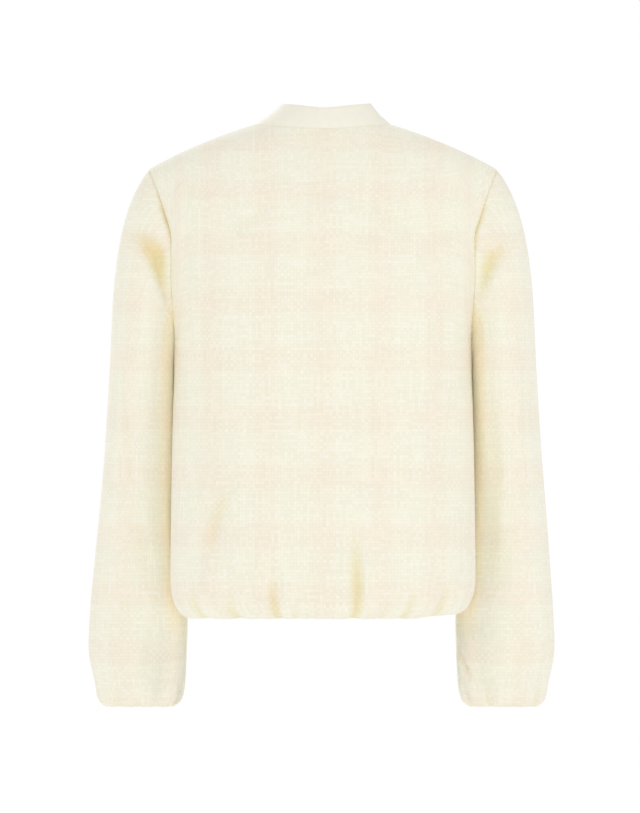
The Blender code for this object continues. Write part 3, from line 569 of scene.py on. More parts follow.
def neck_point(angle):
    """The neck seam: an oval seen from above, laid on the torso form."""
    deep = NECK_BACK - NECK_MIDDLE if math.cos(angle) > 0 else NECK_MIDDLE - NECK_FRONT
    radius = 1.0 / math.hypot(math.sin(angle) / NECK_HALF_WIDTH, math.cos(angle) / deep)
    x, y = radius * math.sin(angle), NECK_MIDDLE + radius * math.cos(angle)
    low, high = TORSO[0].height, TORSO[-1].height
    for _ in range(40):
        height = (low + high) / 2
        ring = between(TORSO, height)
        depth = half_depth(ring, y > ring.seam)
        outside = (abs(x) / ring.half_width) ** ring.power + (abs(y - ring.seam) / depth) ** ring.power
        if outside > 1.0:
            high = height
        else:
            low = height
    return Vector((x, y, height))


def armhole_point(turn):
    """The armhole seam.  The turn is from the underarm (0), by the back, to the
    shoulder tip (pi), and on by the front."""
    height = (SHOULDER_TIP + UNDERARM) / 2 - (SHOULDER_TIP - UNDERARM) / 2 * math.cos(turn)
    ring = between(TORSO, height)
    reach = (ARMHOLE_BACK if math.sin(turn) > 0 else ARMHOLE_FRONT) * math.sin(turn)
    depth = half_depth(ring, reach > 0)
    x = ring.half_width * (1.0 - (abs(reach) / depth) ** ring.power) ** (1.0 / ring.power)
    return Vector((x, ring.seam + reach, height))


def seam_dip(turn, side):
    """How far the armhole seam sinks: most where the back's edge lies over it."""
    off = (math.degrees(turn) - CREASE_AT[side]) / CREASE_REACH
    return SEAM_DIP + CREASE_DIP[side] * max(1.0 - off * off, 0.0)


def armhole_seam(side):
    """The armhole seam in fine steps from the underarm, by the back, sunk below the
    cloth on both sides of it."""
    count = 2 * ARMHOLE_ROWS
    ring = refine([armhole_point(2 * math.pi * k / count) for k in range(count)], FINE, True)
    middle = (armhole_point(0.0) + armhole_point(math.pi)) / 2 - Vector((0.05, 0.0, 0.0))
    turns = [2 * math.pi * k / len(ring) for k in range(len(ring))]
    return [point + (middle - point).normalized() * seam_dip(turn, side)
            for point, turn in zip(ring, turns)]


def around_body():
    """Distance round the body from the centre back, for each degree."""
    lengths = [0.0]
    for degree in range(180):
        here, there = (torso_point(math.radians(d), HEM_START) for d in (degree, degree + 1))
        lengths.append(lengths[-1] + (there - here).length)
    return lengths


AROUND = around_body()


def distance_round(angle):
    """Distance round the body from the centre back to an angle."""
    degrees = math.degrees(angle)
    whole = min(int(degrees), 179)
    return AROUND[whole] + (AROUND[whole + 1] - AROUND[whole]) * (degrees - whole)


Row = namedtuple("Row", "edge_height centre_share edge_angle inset lie at_armhole")


def panel_rows(front):
    """The rows of a panel, hem to neck: the height at its outer edge, the share of
    the way from underarm to neck at its centre, and the angle where it ends."""
    rows = []
    lie = HEM_START - sum(map(roll_step, HEM_ROLL, HEM_ROLL[1:] + (Roll(HEM_START, 0.0),)))
    last = HEM_ROLL[0]
    for roll in HEM_ROLL:
        lie += roll_step(roll, last)
        rows.append(Row(roll.height, None, math.pi / 2, roll.inset, lie, False))
        last = roll
    for k in range(BODY_ROWS):
        height = HEM_START + (UNDERARM - HEM_START) * k / BODY_ROWS
        rows.append(Row(height, None, math.pi / 2, 0.0, height, False))
    upper = ARMHOLE_ROWS + SHOULDER_ROWS
    for k in range(ARMHOLE_ROWS + 1):
        turn = math.pi * k / ARMHOLE_ROWS * (-1 if front else 1)
        point = armhole_point(turn)
        ring = between(TORSO, point.z)
        angle = math.atan2(point.x, abs(point.y - ring.seam))
        rows.append(Row(point.z, k / upper, angle, 0.0, None, True))
    for k in range(1, SHOULDER_ROWS + 1):
        height = SHOULDER_TIP + (NECK_SIDE - SHOULDER_TIP) * k / SHOULDER_ROWS
        rows.append(Row(height, (ARMHOLE_ROWS + k) / upper, math.pi / 2, 0.0, None, False))
    return rows


def neck_angle(share, front):
    """Where a panel's column meets the neck seam: its angle on the neck's oval."""
    if not front:
        return math.pi / 2 * share
    start = math.asin(FRONT_EDGE / (NECK_MIDDLE - NECK_FRONT))
    return math.pi - (start + (math.pi / 2 - start) * share)


def column_angle(share, edge_angle, height, inset, front):
    """The angle of a column at one height, from the centre back."""
    if not front:
        return edge_angle * share
    ring = between(TORSO, height)
    start = math.atan2(FRONT_EDGE, ring.seam - ring.front - inset)
    return math.pi - (start + (edge_angle - start) * share)


def panel_point(row, share, side, front):
    """A point of the unfolded panel: share is 0 at its centre line and 1 at its
    outer edge.  With it come its distance round from the centre line and its
    height with the turned edge rolled out."""
    if row.centre_share is None:
        height, lean = row.edge_height, 0.0
    else:
        neck = neck_point(neck_angle(share, front))
        edge_share = (row.edge_height - UNDERARM) / (NECK_SIDE - UNDERARM)
        climb = row.centre_share + (edge_share - row.centre_share) * share**2
        height = UNDERARM + (neck.z - UNDERARM) * climb
        arrive = math.atan2(neck.x, neck.y - between(TORSO, neck.z).seam)
        lean = (arrive - column_angle(share, math.pi / 2, neck.z, 0.0, front)) * climb**2
    angle = column_angle(share, row.edge_angle, height, row.inset, front) + lean
    point = torso_point(angle, height, row.inset)
    lie = height if row.lie is None else row.lie
    around = distance_round(angle)
    if front:
        around = AROUND[-1] - around
    return flipped(point, side), around * side, lie


# ---------------------------------------------------------------- fine cloth
def grid_normals(grid, closed, facing, across_first=None, across_last=None):
    """Outward normals of a grid of points.  Facing is a rough way out for a point
    given its row and column."""
    rows, columns = len(grid), len(grid[0])
    normals = []
    for j, line in enumerate(grid):
        above, below = grid[min(j + 1, rows - 1)], grid[max(j - 1, 0)]
        out = []
        for i in range(columns):
            if closed:
                across = line[(i + 1) % columns] - line[i - 1]
            elif i == 0 and across_first:
                across = across_first
            elif i == columns - 1 and across_last:
                across = across_last
            else:
                across = line[min(i + 1, columns - 1)] - line[max(i - 1, 0)]
            out.append((above[i] - below[i]).cross(across).normalized())
        normals.append(out)
    middle_row, middle_column = rows // 2, columns // 2
    sign = 1.0 if normals[middle_row][middle_column].dot(facing) > 0 else -1.0
    return [[normal * sign for normal in line] for line in normals]


def sunk(point, normal, depth, dip, lie, end):
    """A point of the cloth, pressed in by folds and sunk at a seam, and the painted shade it gets there."""
    shade = smooth(depth / FULL_SHADE) + dip / SEAM_DIP * SEAM_SHADE
    return point - press(normal, lie, end) * depth - normal * dip, shade


def dip_at_seam(distance, dip):
    """How far the cloth sinks, that far from a seam that sinks by dip."""
    return dip * (1.0 - smooth(distance / SEAM_REACH)) if distance < SEAM_REACH else 0.0


def wall_mesh(name, outer, inner, cloth, closed, shades=None, soft=None):
    """A wall between two grids.  cloth holds each point's place on the flat cut, in
    metres, and shades how much painted shade it gets in a fold, at a seam or in the
    tucked strip.  Each becomes a UV map.  Where soft says so, the outer cloth's shading
    normals turn towards the back and its colour gets painted light."""
    shape = bmesh.new()
    skins = [[[shape.verts.new(point) for point in line] for line in skin] for skin in (outer, inner)]
    flat = shape.loops.layers.uv.new("cloth")
    # the folds map holds the painted shade in U, and in V where the colour gets painted light
    shaded = shape.loops.layers.uv.new("folds")
    rows, columns = len(outer), len(outer[0])
    steps = columns if closed else columns - 1

    def face(corners):
        made = shape.faces.new([skins[skin][j][i % columns] for skin, j, i in corners])
        made.smooth = True
        for loop, (skin, j, i) in zip(made.loops, corners):
            loop[flat].uv = cloth[j][i]
            loop[shaded].uv = [grid[j][i % columns] if grid and skin == 0 else 0.0 for grid in (shades, soft)]

    for skin in (0, 1):
        for j in range(rows - 1):
            for i in range(steps):
                face(((skin, j, i), (skin, j, i + 1), (skin, j + 1, i + 1), (skin, j + 1, i)))
    for i in range(steps):
        for j in (0, rows - 1):
            face(((0, j, i), (0, j, i + 1), (1, j, i + 1), (1, j, i)))
    if not closed:
        for j in range(rows - 1):
            for i in (0, columns - 1):
                face(((0, j, i), (0, j + 1, i), (1, j + 1, i), (1, j, i)))
    bmesh.ops.recalc_face_normals(shape, faces=shape.faces)
    mesh = bpy.data.meshes.new(name)
    shape.to_mesh(mesh)
    shape.free()
    mesh.set_sharp_from_angle(angle=math.radians(60))
    if soft:
        mesh.normals_split_custom_set_from_vertices(softened(mesh, soft))
    return mesh


def softened(mesh, soft):
    """The mesh's normals, with those of its first vertices turned to the back."""
    normals = [vertex.normal.copy() for vertex in mesh.vertices]
    for k, amount in enumerate(amount for line in soft for amount in line):
        normals[k].y += amount * SOFTEN * smooth(normals[k].y / 0.4)
        normals[k].normalize()
    return normals


def place(name, mesh, material, nodes=()):
    """Link a finished mesh as a piece of the jacket."""
    mesh.materials.clear()
    mesh.materials.append(material)
    item = new_item(name, mesh)
    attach(item, JACKET)
    if nodes:
        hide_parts(*nodes)
    return item


def panel_cloth(points, around, lies, base):
    """Each point's place on the flat cut.  Above the underarm the threads run
    straight up, whichever way the grid's columns lean."""
    line = sorted((point.x, along, point.y) for point, along in zip(points[base], around[base]))
    cloth = [list(zip(row, heights)) for row, heights in zip(around, lies)]
    for j in range(base + 1, len(points)):
        for i, point in enumerate(points[j]):
            k = min(max(bisect(line, (point.x,)), 1), len(line) - 1)
            near, far = line[k - 1:k + 1]
            inside = min(max(point.x, line[0][0]), line[-1][0])
            share = (inside - near[0]) / (far[0] - near[0])
            along, depth = (near[n] + (far[n] - near[n]) * share for n in (1, 2))
            cloth[j][i] = (along + point.x - inside, point.z + 0.5 * abs(point.y - depth))
    return cloth


def body_panel(name, front, columns, folds):
    """A body panel's fine shell.  columns are (share, side) from the wearer's left."""
    coarse = [[panel_point(row, share, side, front) for share, side in columns] for row in panel_rows(front)]
    points, around, lies = (refine_grid([[entry[k] for entry in line] for line in coarse], FINE, FINE)
                            for k in range(3))
    shares = refine([share for share, _ in columns], FINE)
    way = Vector((0.0, -1.0, 0.0)) if front else Vector((0.0, 1.0, 0.0))
    edges = [(end, side) for end, (share, side) in ((0, columns[0]), (-1, columns[-1])) if share == 1.0]
    first = way if edges[0][0] == 0 else None
    last = -way if edges[-1][0] == -1 else None
    normals = grid_normals(points, False, way, first, last)
    neck = list(points[-1])
    shades = []
    for line, row, rounds, heights in zip(points, normals, around, lies):
        shades.append([])
        seams = [line[end].copy() for end, _ in edges]
        for i, share in enumerate(shares):
            fade = smooth((1.0 - share) / SIDE_FADE)
            if front:
                fade *= smooth(share / FRONT_FADE)
            depth = fold_depth(folds, rounds[i], heights[i]) * fade
            dip = dip_at_seam(min((line[i] - seam).length for seam in seams + [neck[i]]), SEAM_DIP)
            # sunk also gives the painted shade of folds and seams here
            line[i], shade = sunk(line[i], row[i], depth, dip, heights[i], HEM_START)
            shades[-1].append(shade)
            lifted = smooth((LIFT_FROM - line[i].x) / 0.07) * smooth((HEM_START - heights[i]) / 0.04)
            line[i].z += HEM_LIFT * lifted
    base = (len(HEM_ROLL) + BODY_ROWS) * FINE
    for end, side in edges:
        seam = armhole_seam(side)
        for k in range(ARMHOLE_ROWS * FINE + 1):
            points[base + k][end] = flipped(seam[-k if front else k], side)
    normals = grid_normals(points, False, way, first, last)
    inner = inside(points, normals, WALL)
    return wall_mesh(name, points, inner, panel_cloth(points, around, lies, base), False, shades)


# ---------------------------------------------------------------- sleeves
def sleeve_point(turn, height, inset=0.0):
    """A point of the sleeve form below the upper arm."""
    oval = between(SLEEVE, height)
    middle = Vector(((oval.inner + oval.outer) / 2, (oval.back + oval.front) / 2, height))
    square = 1.0
    if math.cos(turn) > 0.0:
        power = 2.0 + (INNER_POWER - 2.0) * smooth((height - SLEEVE[0].height) / 0.08)
        square = (abs(math.cos(turn)) ** power + abs(math.sin(turn)) ** power) ** (-1.0 / power)
    wide = ((oval.outer - oval.inner) / 2 - inset) * square
    deep = ((oval.back - oval.front) / 2 - inset) * square
    return middle + Vector((-wide * math.cos(turn), deep * math.sin(turn), 0.0))


def cap_point(turn, share):
    """A point of the sleeve head, on a curve from the armhole to the upper arm."""
    start = armhole_point(turn)
    end = sleeve_point(turn, SLEEVE[-1].height)
    reach = 0.9 * (end - start).length
    swell = abs(math.sin(turn))
    beneath = max(math.cos(turn), 0.0) ** 4
    across = 0.62 * (1.0 - beneath) + 0.18 * swell
    leave = Vector((across, 0.25 * math.sin(turn), -0.78 + 0.20 * swell)) * reach
    arrive = Vector((0.05, -0.26, -1.0)).normalized() * reach
    return hermite(start, leave, end, arrive, share)


def along_strip(degrees, at, least, fade):
    """1 on a line down the sleeve, and 0 where the cosine of the turn from it is least."""
    return smooth((math.cos(math.radians(degrees - at)) - least) / fade)


def sleeve_shell(name, side, folds):
    """A sleeve's fine shell: its head, its length, and the cuff turned under."""
    columns = 2 * ARMHOLE_ROWS
    turns = [2 * math.pi * k / columns for k in range(columns)]
    coarse, lies = [], []
    for k in range(CAP_ROWS + 1):
        share = (k / CAP_ROWS) ** 1.25
        line = [cap_point(turn, share) for turn in turns]
        coarse.append(line)
        lies.append([point.z for point in line])
    top, foot = SLEEVE[-1].height, SLEEVE[0].height
    for k in range(1, SLEEVE_ROWS + 1):
        height = top + (foot - top) * k / SLEEVE_ROWS
        coarse.append([sleeve_point(turn, height) for turn in turns])
        lies.append([height] * columns)
    lie, last = foot, Roll(foot, 0.0)
    for roll in reversed(CUFF_ROLL):
        lie -= roll_step(roll, last)
        line = [sleeve_point(turn, foot, roll.inset) for turn in turns]
        coarse.append([Vector((point.x, point.y, roll.height)) for point in line])
        lies.append([lie] * columns)
        last = roll
    points = refine_grid(coarse, FINE, FINE, True)
    lies = refine_grid(lies, FINE, FINE, True)
    fine = len(points[0])
    centre = sum(points[len(points) // 2], Vector()) / fine
    facing = points[len(points) // 2][fine // 2] - centre
    normals = grid_normals(points, True, facing)
    seam = [point.copy() for point in points[0]]
    turns_fine = [2 * math.pi * i / fine for i in range(fine)]
    shades, soft = [], []
    for j, line in enumerate(points):
        shades.append([])
        soft.append([])
        for i in range(fine):
            degrees = 360.0 * i / fine
            lie = lies[j][i]
            depth = sum(fold_depth(folds, degrees + wrap, lie) for wrap in (-360.0, 0.0, 360.0))
            depth *= smooth(j / (HEAD_FADE * FINE))
            dip = dip_at_seam((line[i] - seam[i]).length, seam_dip(turns_fine[i], side))
            line[i], shade = sunk(line[i], normals[j][i], depth, dip, lie, foot)
            # the strip that lies against the body gets painted shade
            above_cuff = smooth((lie - TUCK_END) / 0.06)
            below_head = smooth((TUCK_TOP - lie) / 0.05)
            tucked = along_strip(degrees, TUCK_AT, *TUCK_STRIP) * (below_head * above_cuff)
            shades[-1].append(shade + tucked * TUCK_SHADE[side])
            # soft turns the shading normals there and marks where the colour gets painted light
            turned = along_strip(degrees, SOFT_AT, *SOFT_STRIP) * below_head
            soft[-1].append(turned * smooth((lie - SOFT_END) / 0.03))
            off = (min(degrees, 360.0 - degrees) - TUCK_FADE[0]) / (TUCK_FADE[1] - TUCK_FADE[0])
            line[i].x -= TUCK_IN * smooth((TUCK_FROM - lie) / 0.04) * above_cuff * (1.0 - smooth(off))
            if side > 0:
                line[i].x += LEFT_SWING * smooth((SWING_FROM - lie) / 0.18)
    points[0] = armhole_seam(side)
    normals = grid_normals(points, True, facing)
    upper_arm = points[CAP_ROWS * FINE]
    girth = sum((a - b).length for a, b in zip(upper_arm, upper_arm[1:] + upper_arm[:1]))
    cloth = [[(girth * (i / fine - 0.5), lie) for i, lie in enumerate(row + row[:1])] for row in lies]
    outer, inner = ([[flipped(point, side) for point in line] for line in grid]
                    for grid in (points, inside(points, normals, WALL)))
    return wall_mesh(name, outer, inner, cloth, True, shades, soft)


# ---------------------------------------------------------------- collar
def collar_point(angle, share):
    """A point of the stand collar, share 0 at the neck seam and 1 at its top."""
    foot = neck_point(angle)
    lean_deep = COLLAR_LEAN_BACK if math.cos(angle) > 0 else COLLAR_LEAN_FRONT
    lean_side = COLLAR_LEAN_LEFT if math.sin(angle) > 0 else COLLAR_LEAN_RIGHT
    lean_side *= math.sin(angle) * smooth(abs(math.sin(angle)) / 0.25)
    lean = Vector((-lean_side, -lean_deep * math.cos(angle), COLLAR_RISE))
    bulge = COLLAR_BELLY - (COLLAR_BELLY + COLLAR_HOLLOW) * math.sin(angle) ** 4
    outwards = Vector((math.sin(angle), math.cos(angle), 0.0))
    return foot + lean * share + outwards * bulge * math.sin(math.pi * share)


def collar_shell(name):
    """The collar's fine shell, with a rounded top edge."""
    left = [neck_angle(k / FRONT_COLUMNS, True) for k in range(FRONT_COLUMNS)]
    left += [neck_angle(2 * k / BACK_COLUMNS, False) for k in range(BACK_COLUMNS // 2, -1, -1)]
    angles = refine(left + [-angle for angle in reversed(left[:-1])], FINE_COLLAR)
    grid, lengths = [], [0.0]
    for a, b in zip(angles, angles[1:]):
        lengths.append(lengths[-1] + (neck_point(b) - neck_point(a)).length)
    rows = COLLAR_ROWS * FINE_COLLAR
    foot = -COLLAR_TUCK / COLLAR_RISE
    for j in range(rows + 1):
        share = foot + (1.0 - foot) * j / rows
        grid.append([collar_point(angle, share) for angle in angles])
    middle = len(angles) // 2
    normals = grid_normals(grid, False, Vector((math.sin(angles[middle]), math.cos(angles[middle]), 0.0)))
    inner = inside(grid, normals, COLLAR_WALL)
    grid[0] = [point - normal * COLLAR_SINK for point, normal in zip(grid[0], normals[0])]
    crown = [(a + b) / 2 + (a - c).normalized() * COLLAR_WALL * CROWN_RISE
             for a, b, c in zip(grid[-1], inner[-1], grid[-2])]
    soft = [a + (b - a) * EDGE_IN for a, b in zip(grid[-1], inner[-1])]
    lift = [(a - c).normalized() * COLLAR_WALL * EDGE_RISE for a, c in zip(grid[-1], grid[-2])]
    grid.append([a + up for a, up in zip(soft, lift)])
    soft_in = [b + (a - b) * EDGE_IN + up for a, b, up in zip(grid[-2], inner[-1], lift)]
    grid.append(crown)
    inner += [soft_in, [point - (a - b).normalized() * 0.0002 for point, a, b in
                        zip(crown, grid[-2], soft_in)]]
    heights = [COLLAR_RISE * j / rows for j in range(len(grid))]
    cloth = [[(length, height) for length in lengths] for height in heights]
    return wall_mesh(name, grid, inner, cloth, False)


# ---------------------------------------------------------------- zip
def front_line(share):
    """The centre front from the zip's foot (0) to the collar's top (1): a point on
    the tape's outer face, and the way out."""
    neck = neck_point(math.pi).z
    top = collar_point(math.pi, 1.0).z
    height = ZIP_FOOT + (top - ZIP_FOOT) * share

    def outside(level):
        if level > neck:
            return collar_point(math.pi, (level - neck) / COLLAR_RISE)
        if level < HEM_START:
            rolls = sorted(HEM_ROLL[2:], key=lambda roll: roll.height) + [Roll(HEM_START, 0.0)]
            pair = next(k for k in range(len(rolls) - 1) if level <= rolls[k + 1].height)
            low, high = rolls[pair], rolls[pair + 1]
            inset = low.inset + (high.inset - low.inset) * (level - low.height) / (high.height - low.height)
            point = torso_point(math.pi, HEM_START, inset)
            return Vector((0.0, point.y, level))
        return torso_point(math.pi, level)

    step = 0.002
    up = (outside(min(height + step, top)) - outside(height - step)).normalized()
    out = Vector((0.0, -up.z, up.y))
    return outside(height) - out * TAPE_BACKSET, out


def chain_end():
    """The share of the zip's line where the chain goes into the slider."""
    length = (front_line(1.0)[0] - front_line(0.0)[0]).length
    return 1.0 - (SLIDER_LENGTH + SLIDER_DROP + CHAIN_DROP) / length


def tape_mesh(name, side):
    """Half of the zip's tape, as a thin woven strip with a corded edge."""
    edge = TAPE_PARTING
    profile = ((edge, 0.0), (edge + 0.0004, CORD_RISE), (edge + 0.0016, CORD_RISE), (edge + 0.0021, 0.0),
               (TAPE_HALF_WIDTH, 0.0))
    outer, inner, cloth = [], [], []
    for k in range(ZIP_STATIONS + 1):
        point, out = front_line(k / ZIP_STATIONS)
        outer.append([point + Vector((x * side, 0.0, 0.0)) + out * n for x, n in profile])
        inner.append([point + Vector((x * side, 0.0, 0.0)) - out * TAPE_THICKNESS for x, _ in profile])
        cloth.append([(x * side, point.z) for x, _ in profile])
    return wall_mesh(name, outer, inner, cloth, False)


def row_tree(name, size, head):
    """A Geometry Nodes tree that sets a small block, with a rounded head across its
    end, at each pitch along a curve."""
    tree = bpy.data.node_groups.new(name, "GeometryNodeTree")
    add_sockets(tree, "INPUT", "Geometry", "Geometry")
    add_sockets(tree, "INPUT", "Float", "Pitch", "Start")
    add_sockets(tree, "INPUT", "Material", "Material")
    add_sockets(tree, "OUTPUT", "Geometry", "Geometry")
    wires = Wires(tree)
    path, pitch, start, material = wires.outs("NodeGroupInput")[:4]
    trim = wires.outs("GeometryNodeTrimCurve", {"Curve": path, 4: start, 5: 10.0}, mode="LENGTH")[0]
    spots = wires.node("GeometryNodeCurveToPoints", {"Curve": trim, "Length": pitch}, mode="LENGTH").outputs
    block = wires.outs("GeometryNodeMeshCube", {"Size": size})[0]
    knob = wires.outs("GeometryNodeMeshCylinder", {"Vertices": 8, "Radius": head, "Depth": size[1] * 0.92})[0]
    knob = wires.outs("GeometryNodeTransform", {
        "Geometry": knob, "Rotation": (math.pi / 2, 0.0, 0.0), "Translation": (-size[0] / 2, 0.0, 0.0)})[0]
    tooth = wires.node("GeometryNodeJoinGeometry", {0: block})
    wires.put(knob, tooth.inputs[0])
    teeth = wires.outs("GeometryNodeInstanceOnPoints", {
        "Points": spots["Points"], "Instance": tooth.outputs[0], "Rotation": spots["Rotation"]})[0]
    teeth = wires.outs("GeometryNodeRealizeInstances", {0: teeth})[0]
    teeth = wires.outs("GeometryNodeSetMaterial", {"Geometry": teeth, "Material": material})[0]
    wires.node("NodeGroupOutput", {"Geometry": teeth})
    return tree


def grow_row(name, points, tree, values):
    """Run a tree along a path and keep what it makes as a plain mesh."""
    data = bpy.data.curves.new(name + "_path", "CURVE")
    data.dimensions = "3D"
    line = data.splines.new("POLY")
    line.points.add(len(points) - 1)
    for spot, point in zip(line.points, points):
        spot.co = (*point, 1.0)
    path = new_item(name + "_path", data)
    modifier = path.modifiers.new("row", "NODES")
    modifier.node_group = tree
    for item in tree.interface.items_tree:
        if item.item_type == "SOCKET" and item.in_out == "INPUT" and item.name in values:
            modifier[item.identifier] = values[item.name]
    graph = bpy.context.evaluated_depsgraph_get()
    graph.update()
    mesh = bpy.data.meshes.new_from_object(path.evaluated_get(graph), depsgraph=graph)
    mesh.name = name
    path.modifiers.remove(modifier)
    bpy.data.objects.remove(path)
    return mesh


# ---------------------------------------------------------------- materials
def basket_group():
    """Cloth woven of thick uneven threads in a check.  Vector is a place on the flat
    cloth in metres.  Band is 1 on a peach thread, Fleck picks out single bright
    stitches, Tone varies from thread to thread, and Height is the relief."""
    tree = bpy.data.node_groups.new("basket_weave", "ShaderNodeTree")
    add_sockets(tree, "INPUT", "Vector", "Vector")
    add_sockets(tree, "INPUT", "Float", "Pitch", "Repeat", "Band width")
    add_sockets(tree, "OUTPUT", "Float", "Band", "Fleck", "Tone", "Height")
    wires = Wires(tree)
    vector, pitch, repeat, width = wires.outs("NodeGroupInput")[:4]

    waver = (wires.noise(vector, 110.0) - 0.5) * WAVER
    drift = (wires.noise(vector, 12.0) - 0.5) * DRIFT
    places, threads, ridges, bands = [], [], [], []
    for part, shift in zip(wires.outs("ShaderNodeSeparateXYZ", {0: vector}), (0.0, CHECK_SHIFT)):
        place_on = (part + shift + waver + drift) / pitch
        thread = wires.math("FLOOR", place_on)
        places.append(place_on)
        threads.append(thread)
        ridges.append(wires.math("SINE", (place_on - thread) * math.pi))
        turn = (thread + 0.5) * pitch / repeat * (2 * math.pi)
        edge = wires.math("COSINE", width / repeat * math.pi)
        bands.append(wires.step(wires.math("COSINE", turn) - edge, -BAND_EDGE, BAND_EDGE))

    parity = wires.math("FRACT", (threads[0] + threads[1]) * 0.5) * 2.0
    band = wires.blend(BAND_MINGLE, wires.blend(parity, *bands), (bands[0] + bands[1]) * 0.5)
    along = wires.blend(parity, ridges[1], ridges[0])
    across = wires.blend(parity, *ridges)
    knot = wires.math("POWER", across, 0.6) * along.scaled(0.55, 0.45)
    warp = wires.chance(threads[0], wires.math("FLOOR", places[1] / WARP_RUN))
    weft = wires.chance(wires.math("FLOOR", places[0] / WEFT_RUN), threads[1], 5.0)
    tone = wires.blend(parity, warp, weft)
    fleck = wires.step(wires.chance(threads[0], threads[1], 11.0), 0.80, 0.97)
    fibre = wires.noise(vector, 1500.0, 3.0)
    height = knot * tone.scaled(0.5, 0.6) + fibre * 0.22 + fleck * 0.35
    wires.node("NodeGroupOutput", {"Band": band, "Fleck": fleck, "Tone": tone, "Height": height})
    return tree


def opaque(colour):
    """A colour with full alpha."""
    return (*colour, 1.0)


def new_material(name, values):
    """A material with its wires and its Principled shader, set to some values."""
    material = bpy.data.materials.new(name)
    material.use_nodes = True
    wires = Wires(material.node_tree)
    shader = material.node_tree.nodes["Principled BSDF"]
    wires.feed(shader, values)
    return material, wires, shader


def tweed_material():
    """Cream and peach check in a nubbly basket weave, with painted shade in folds, at seams and between
    threads, and painted light beside the body.
    """
    values = settings()
    material, wires, shader = new_material("tweed_weave", {
        "Roughness": 0.92, "Specular IOR Level": 0.25, "Sheen Weight": 0.30, "Sheen Roughness": 0.5})
    group = bpy.data.node_groups.get("basket_weave") or basket_group()
    band, fleck, tone, height = wires.outs("ShaderNodeGroup", {
        "Vector": wires.uv("cloth"), "Pitch": values.thread_pitch,
        "Repeat": values.check_repeat, "Band width": values.band_width}, node_tree=group)
    colour = wires.mix(band, opaque(values.cream), opaque(values.peach))
    colour = wires.times(colour, tone.scaled(0.040, 0.975))
    # darker where the weave's relief is low: painted shade between the threads
    colour = wires.times(colour, wires.step(height, 0.25, 0.95).scaled(0.035, 0.970))
    colour = wires.mix(fleck * 0.17, colour, opaque(values.pale_thread))
    # deep is how much painted shade a point gets, soft where its colour gets painted light
    deep, soft = wires.outs("ShaderNodeSeparateXYZ", {0: wires.uv("folds")})[:2]
    painted_shade_colour = wires.mix(1.0, colour, opaque(values.painted_fold_shade), "MULTIPLY")
    colour = wires.mix(wires.math("MINIMUM", deep, 1.0), colour, painted_shade_colour)
    # painted light: the strip beside the body is painted paler, where little light gets in
    colour = wires.times(colour, soft.scaled(TUCK_PAINTED_LIGHT, 1.0))
    wires.feed(shader, {"Base Color": colour, "Normal": wires.bump(height, 0.22, 0.0010)})
    return material


def plain_cloth(name, colour, pitch, strength, sheen):
    """A smooth, close-woven cloth."""
    material, wires, shader = new_material(name, {
        "Roughness": 0.68, "Specular IOR Level": 0.35, "Sheen Weight": sheen})
    spot = wires.uv("cloth")
    across, up = (wires.math("SINE", part * (2 * math.pi / pitch))
                  for part in wires.outs("ShaderNodeSeparateXYZ", {0: spot})[:2])
    cloudy = wires.noise(spot, 90.0, 3.0)
    wires.feed(shader, {"Base Color": wires.times(opaque(colour), cloudy.scaled(0.07, 0.965)),
                        "Normal": wires.bump(across * up + cloudy * 0.8, strength, 0.0002)})
    return material


def metal_material():
    """Pale polished metal with fine rubbing marks."""
    material, wires, shader = new_material("rubbed_metal", {"Metallic": 1.0})
    marks = wires.noise(wires.node("ShaderNodeTexCoord").outputs["Object"], 900.0, 4.0)
    colour = settings().metal_colour
    dull = opaque(channel * 0.8 for channel in colour)
    wires.feed(shader, {"Base Color": wires.mix(wires.step(marks, 0.35, 0.75), opaque(colour), dull),
                        "Roughness": marks.scaled(0.22, 0.20), "Normal": wires.bump(marks, 0.15, 0.0001)})
    return material


def material_of(name, make):
    """A material by name, made the first time that it is asked for."""
    return bpy.data.materials.get(name) or make()


def tweed():
    return material_of("tweed_weave", tweed_material)


def collar_cloth():
    return material_of("collar_twill", lambda: plain_cloth(
        "collar_twill", settings().collar_colour, 0.0009, 0.25, 0.15))


def tape_cloth():
    return material_of("tape_weave", lambda: plain_cloth(
        "tape_weave", settings().tape_colour, 0.0007, 0.6, 0.05))


def zip_metal():
    return material_of("rubbed_metal", metal_material)


def place_tweed(node, mesh):
    """Place a tweed piece in the stead of its node."""
    return place(node + "_cloth", mesh, tweed(), [node])


# ---------------------------------------------------------------- operators
class JACKET_OT_body(bpy.types.Operator):
    """Build the back and the two fronts"""

    bl_idname = "jacket.body"
    bl_label = "Back and fronts"

    def execute(self, context):
        half = BACK_COLUMNS // 2
        columns = [(abs(half - k) / half, 1 if k <= half else -1) for k in range(BACK_COLUMNS + 1)]
        item = place_tweed("back", body_panel("back_cloth", False, columns, FOLDS["back"]))
        for name, side in (("front_left", 1), ("front_right", -1)):
            columns = [(k / FRONT_COLUMNS, side) for k in range(FRONT_COLUMNS + 1)]
            item = place_tweed(name, body_panel(name + "_cloth", True, columns, FOLDS[name]))
        return {"FINISHED"}


class JACKET_OT_sleeves(bpy.types.Operator):
    """Build the two sleeves"""

    bl_idname = "jacket.sleeves"
    bl_label = "Sleeves"

    def execute(self, context):
        for name, side in (("sleeve_left", 1), ("sleeve_right", -1)):
            item = place_tweed(name, sleeve_shell(name + "_cloth", side, FOLDS[name]))
        return {"FINISHED"}


class JACKET_OT_collar(bpy.types.Operator):
    """Build the stand collar"""

    bl_idname = "jacket.collar"
    bl_label = "Collar"

    def execute(self, context):
        item = place("collar_band", collar_shell("collar_band"), collar_cloth(), ["collar"])
        return {"FINISHED"}


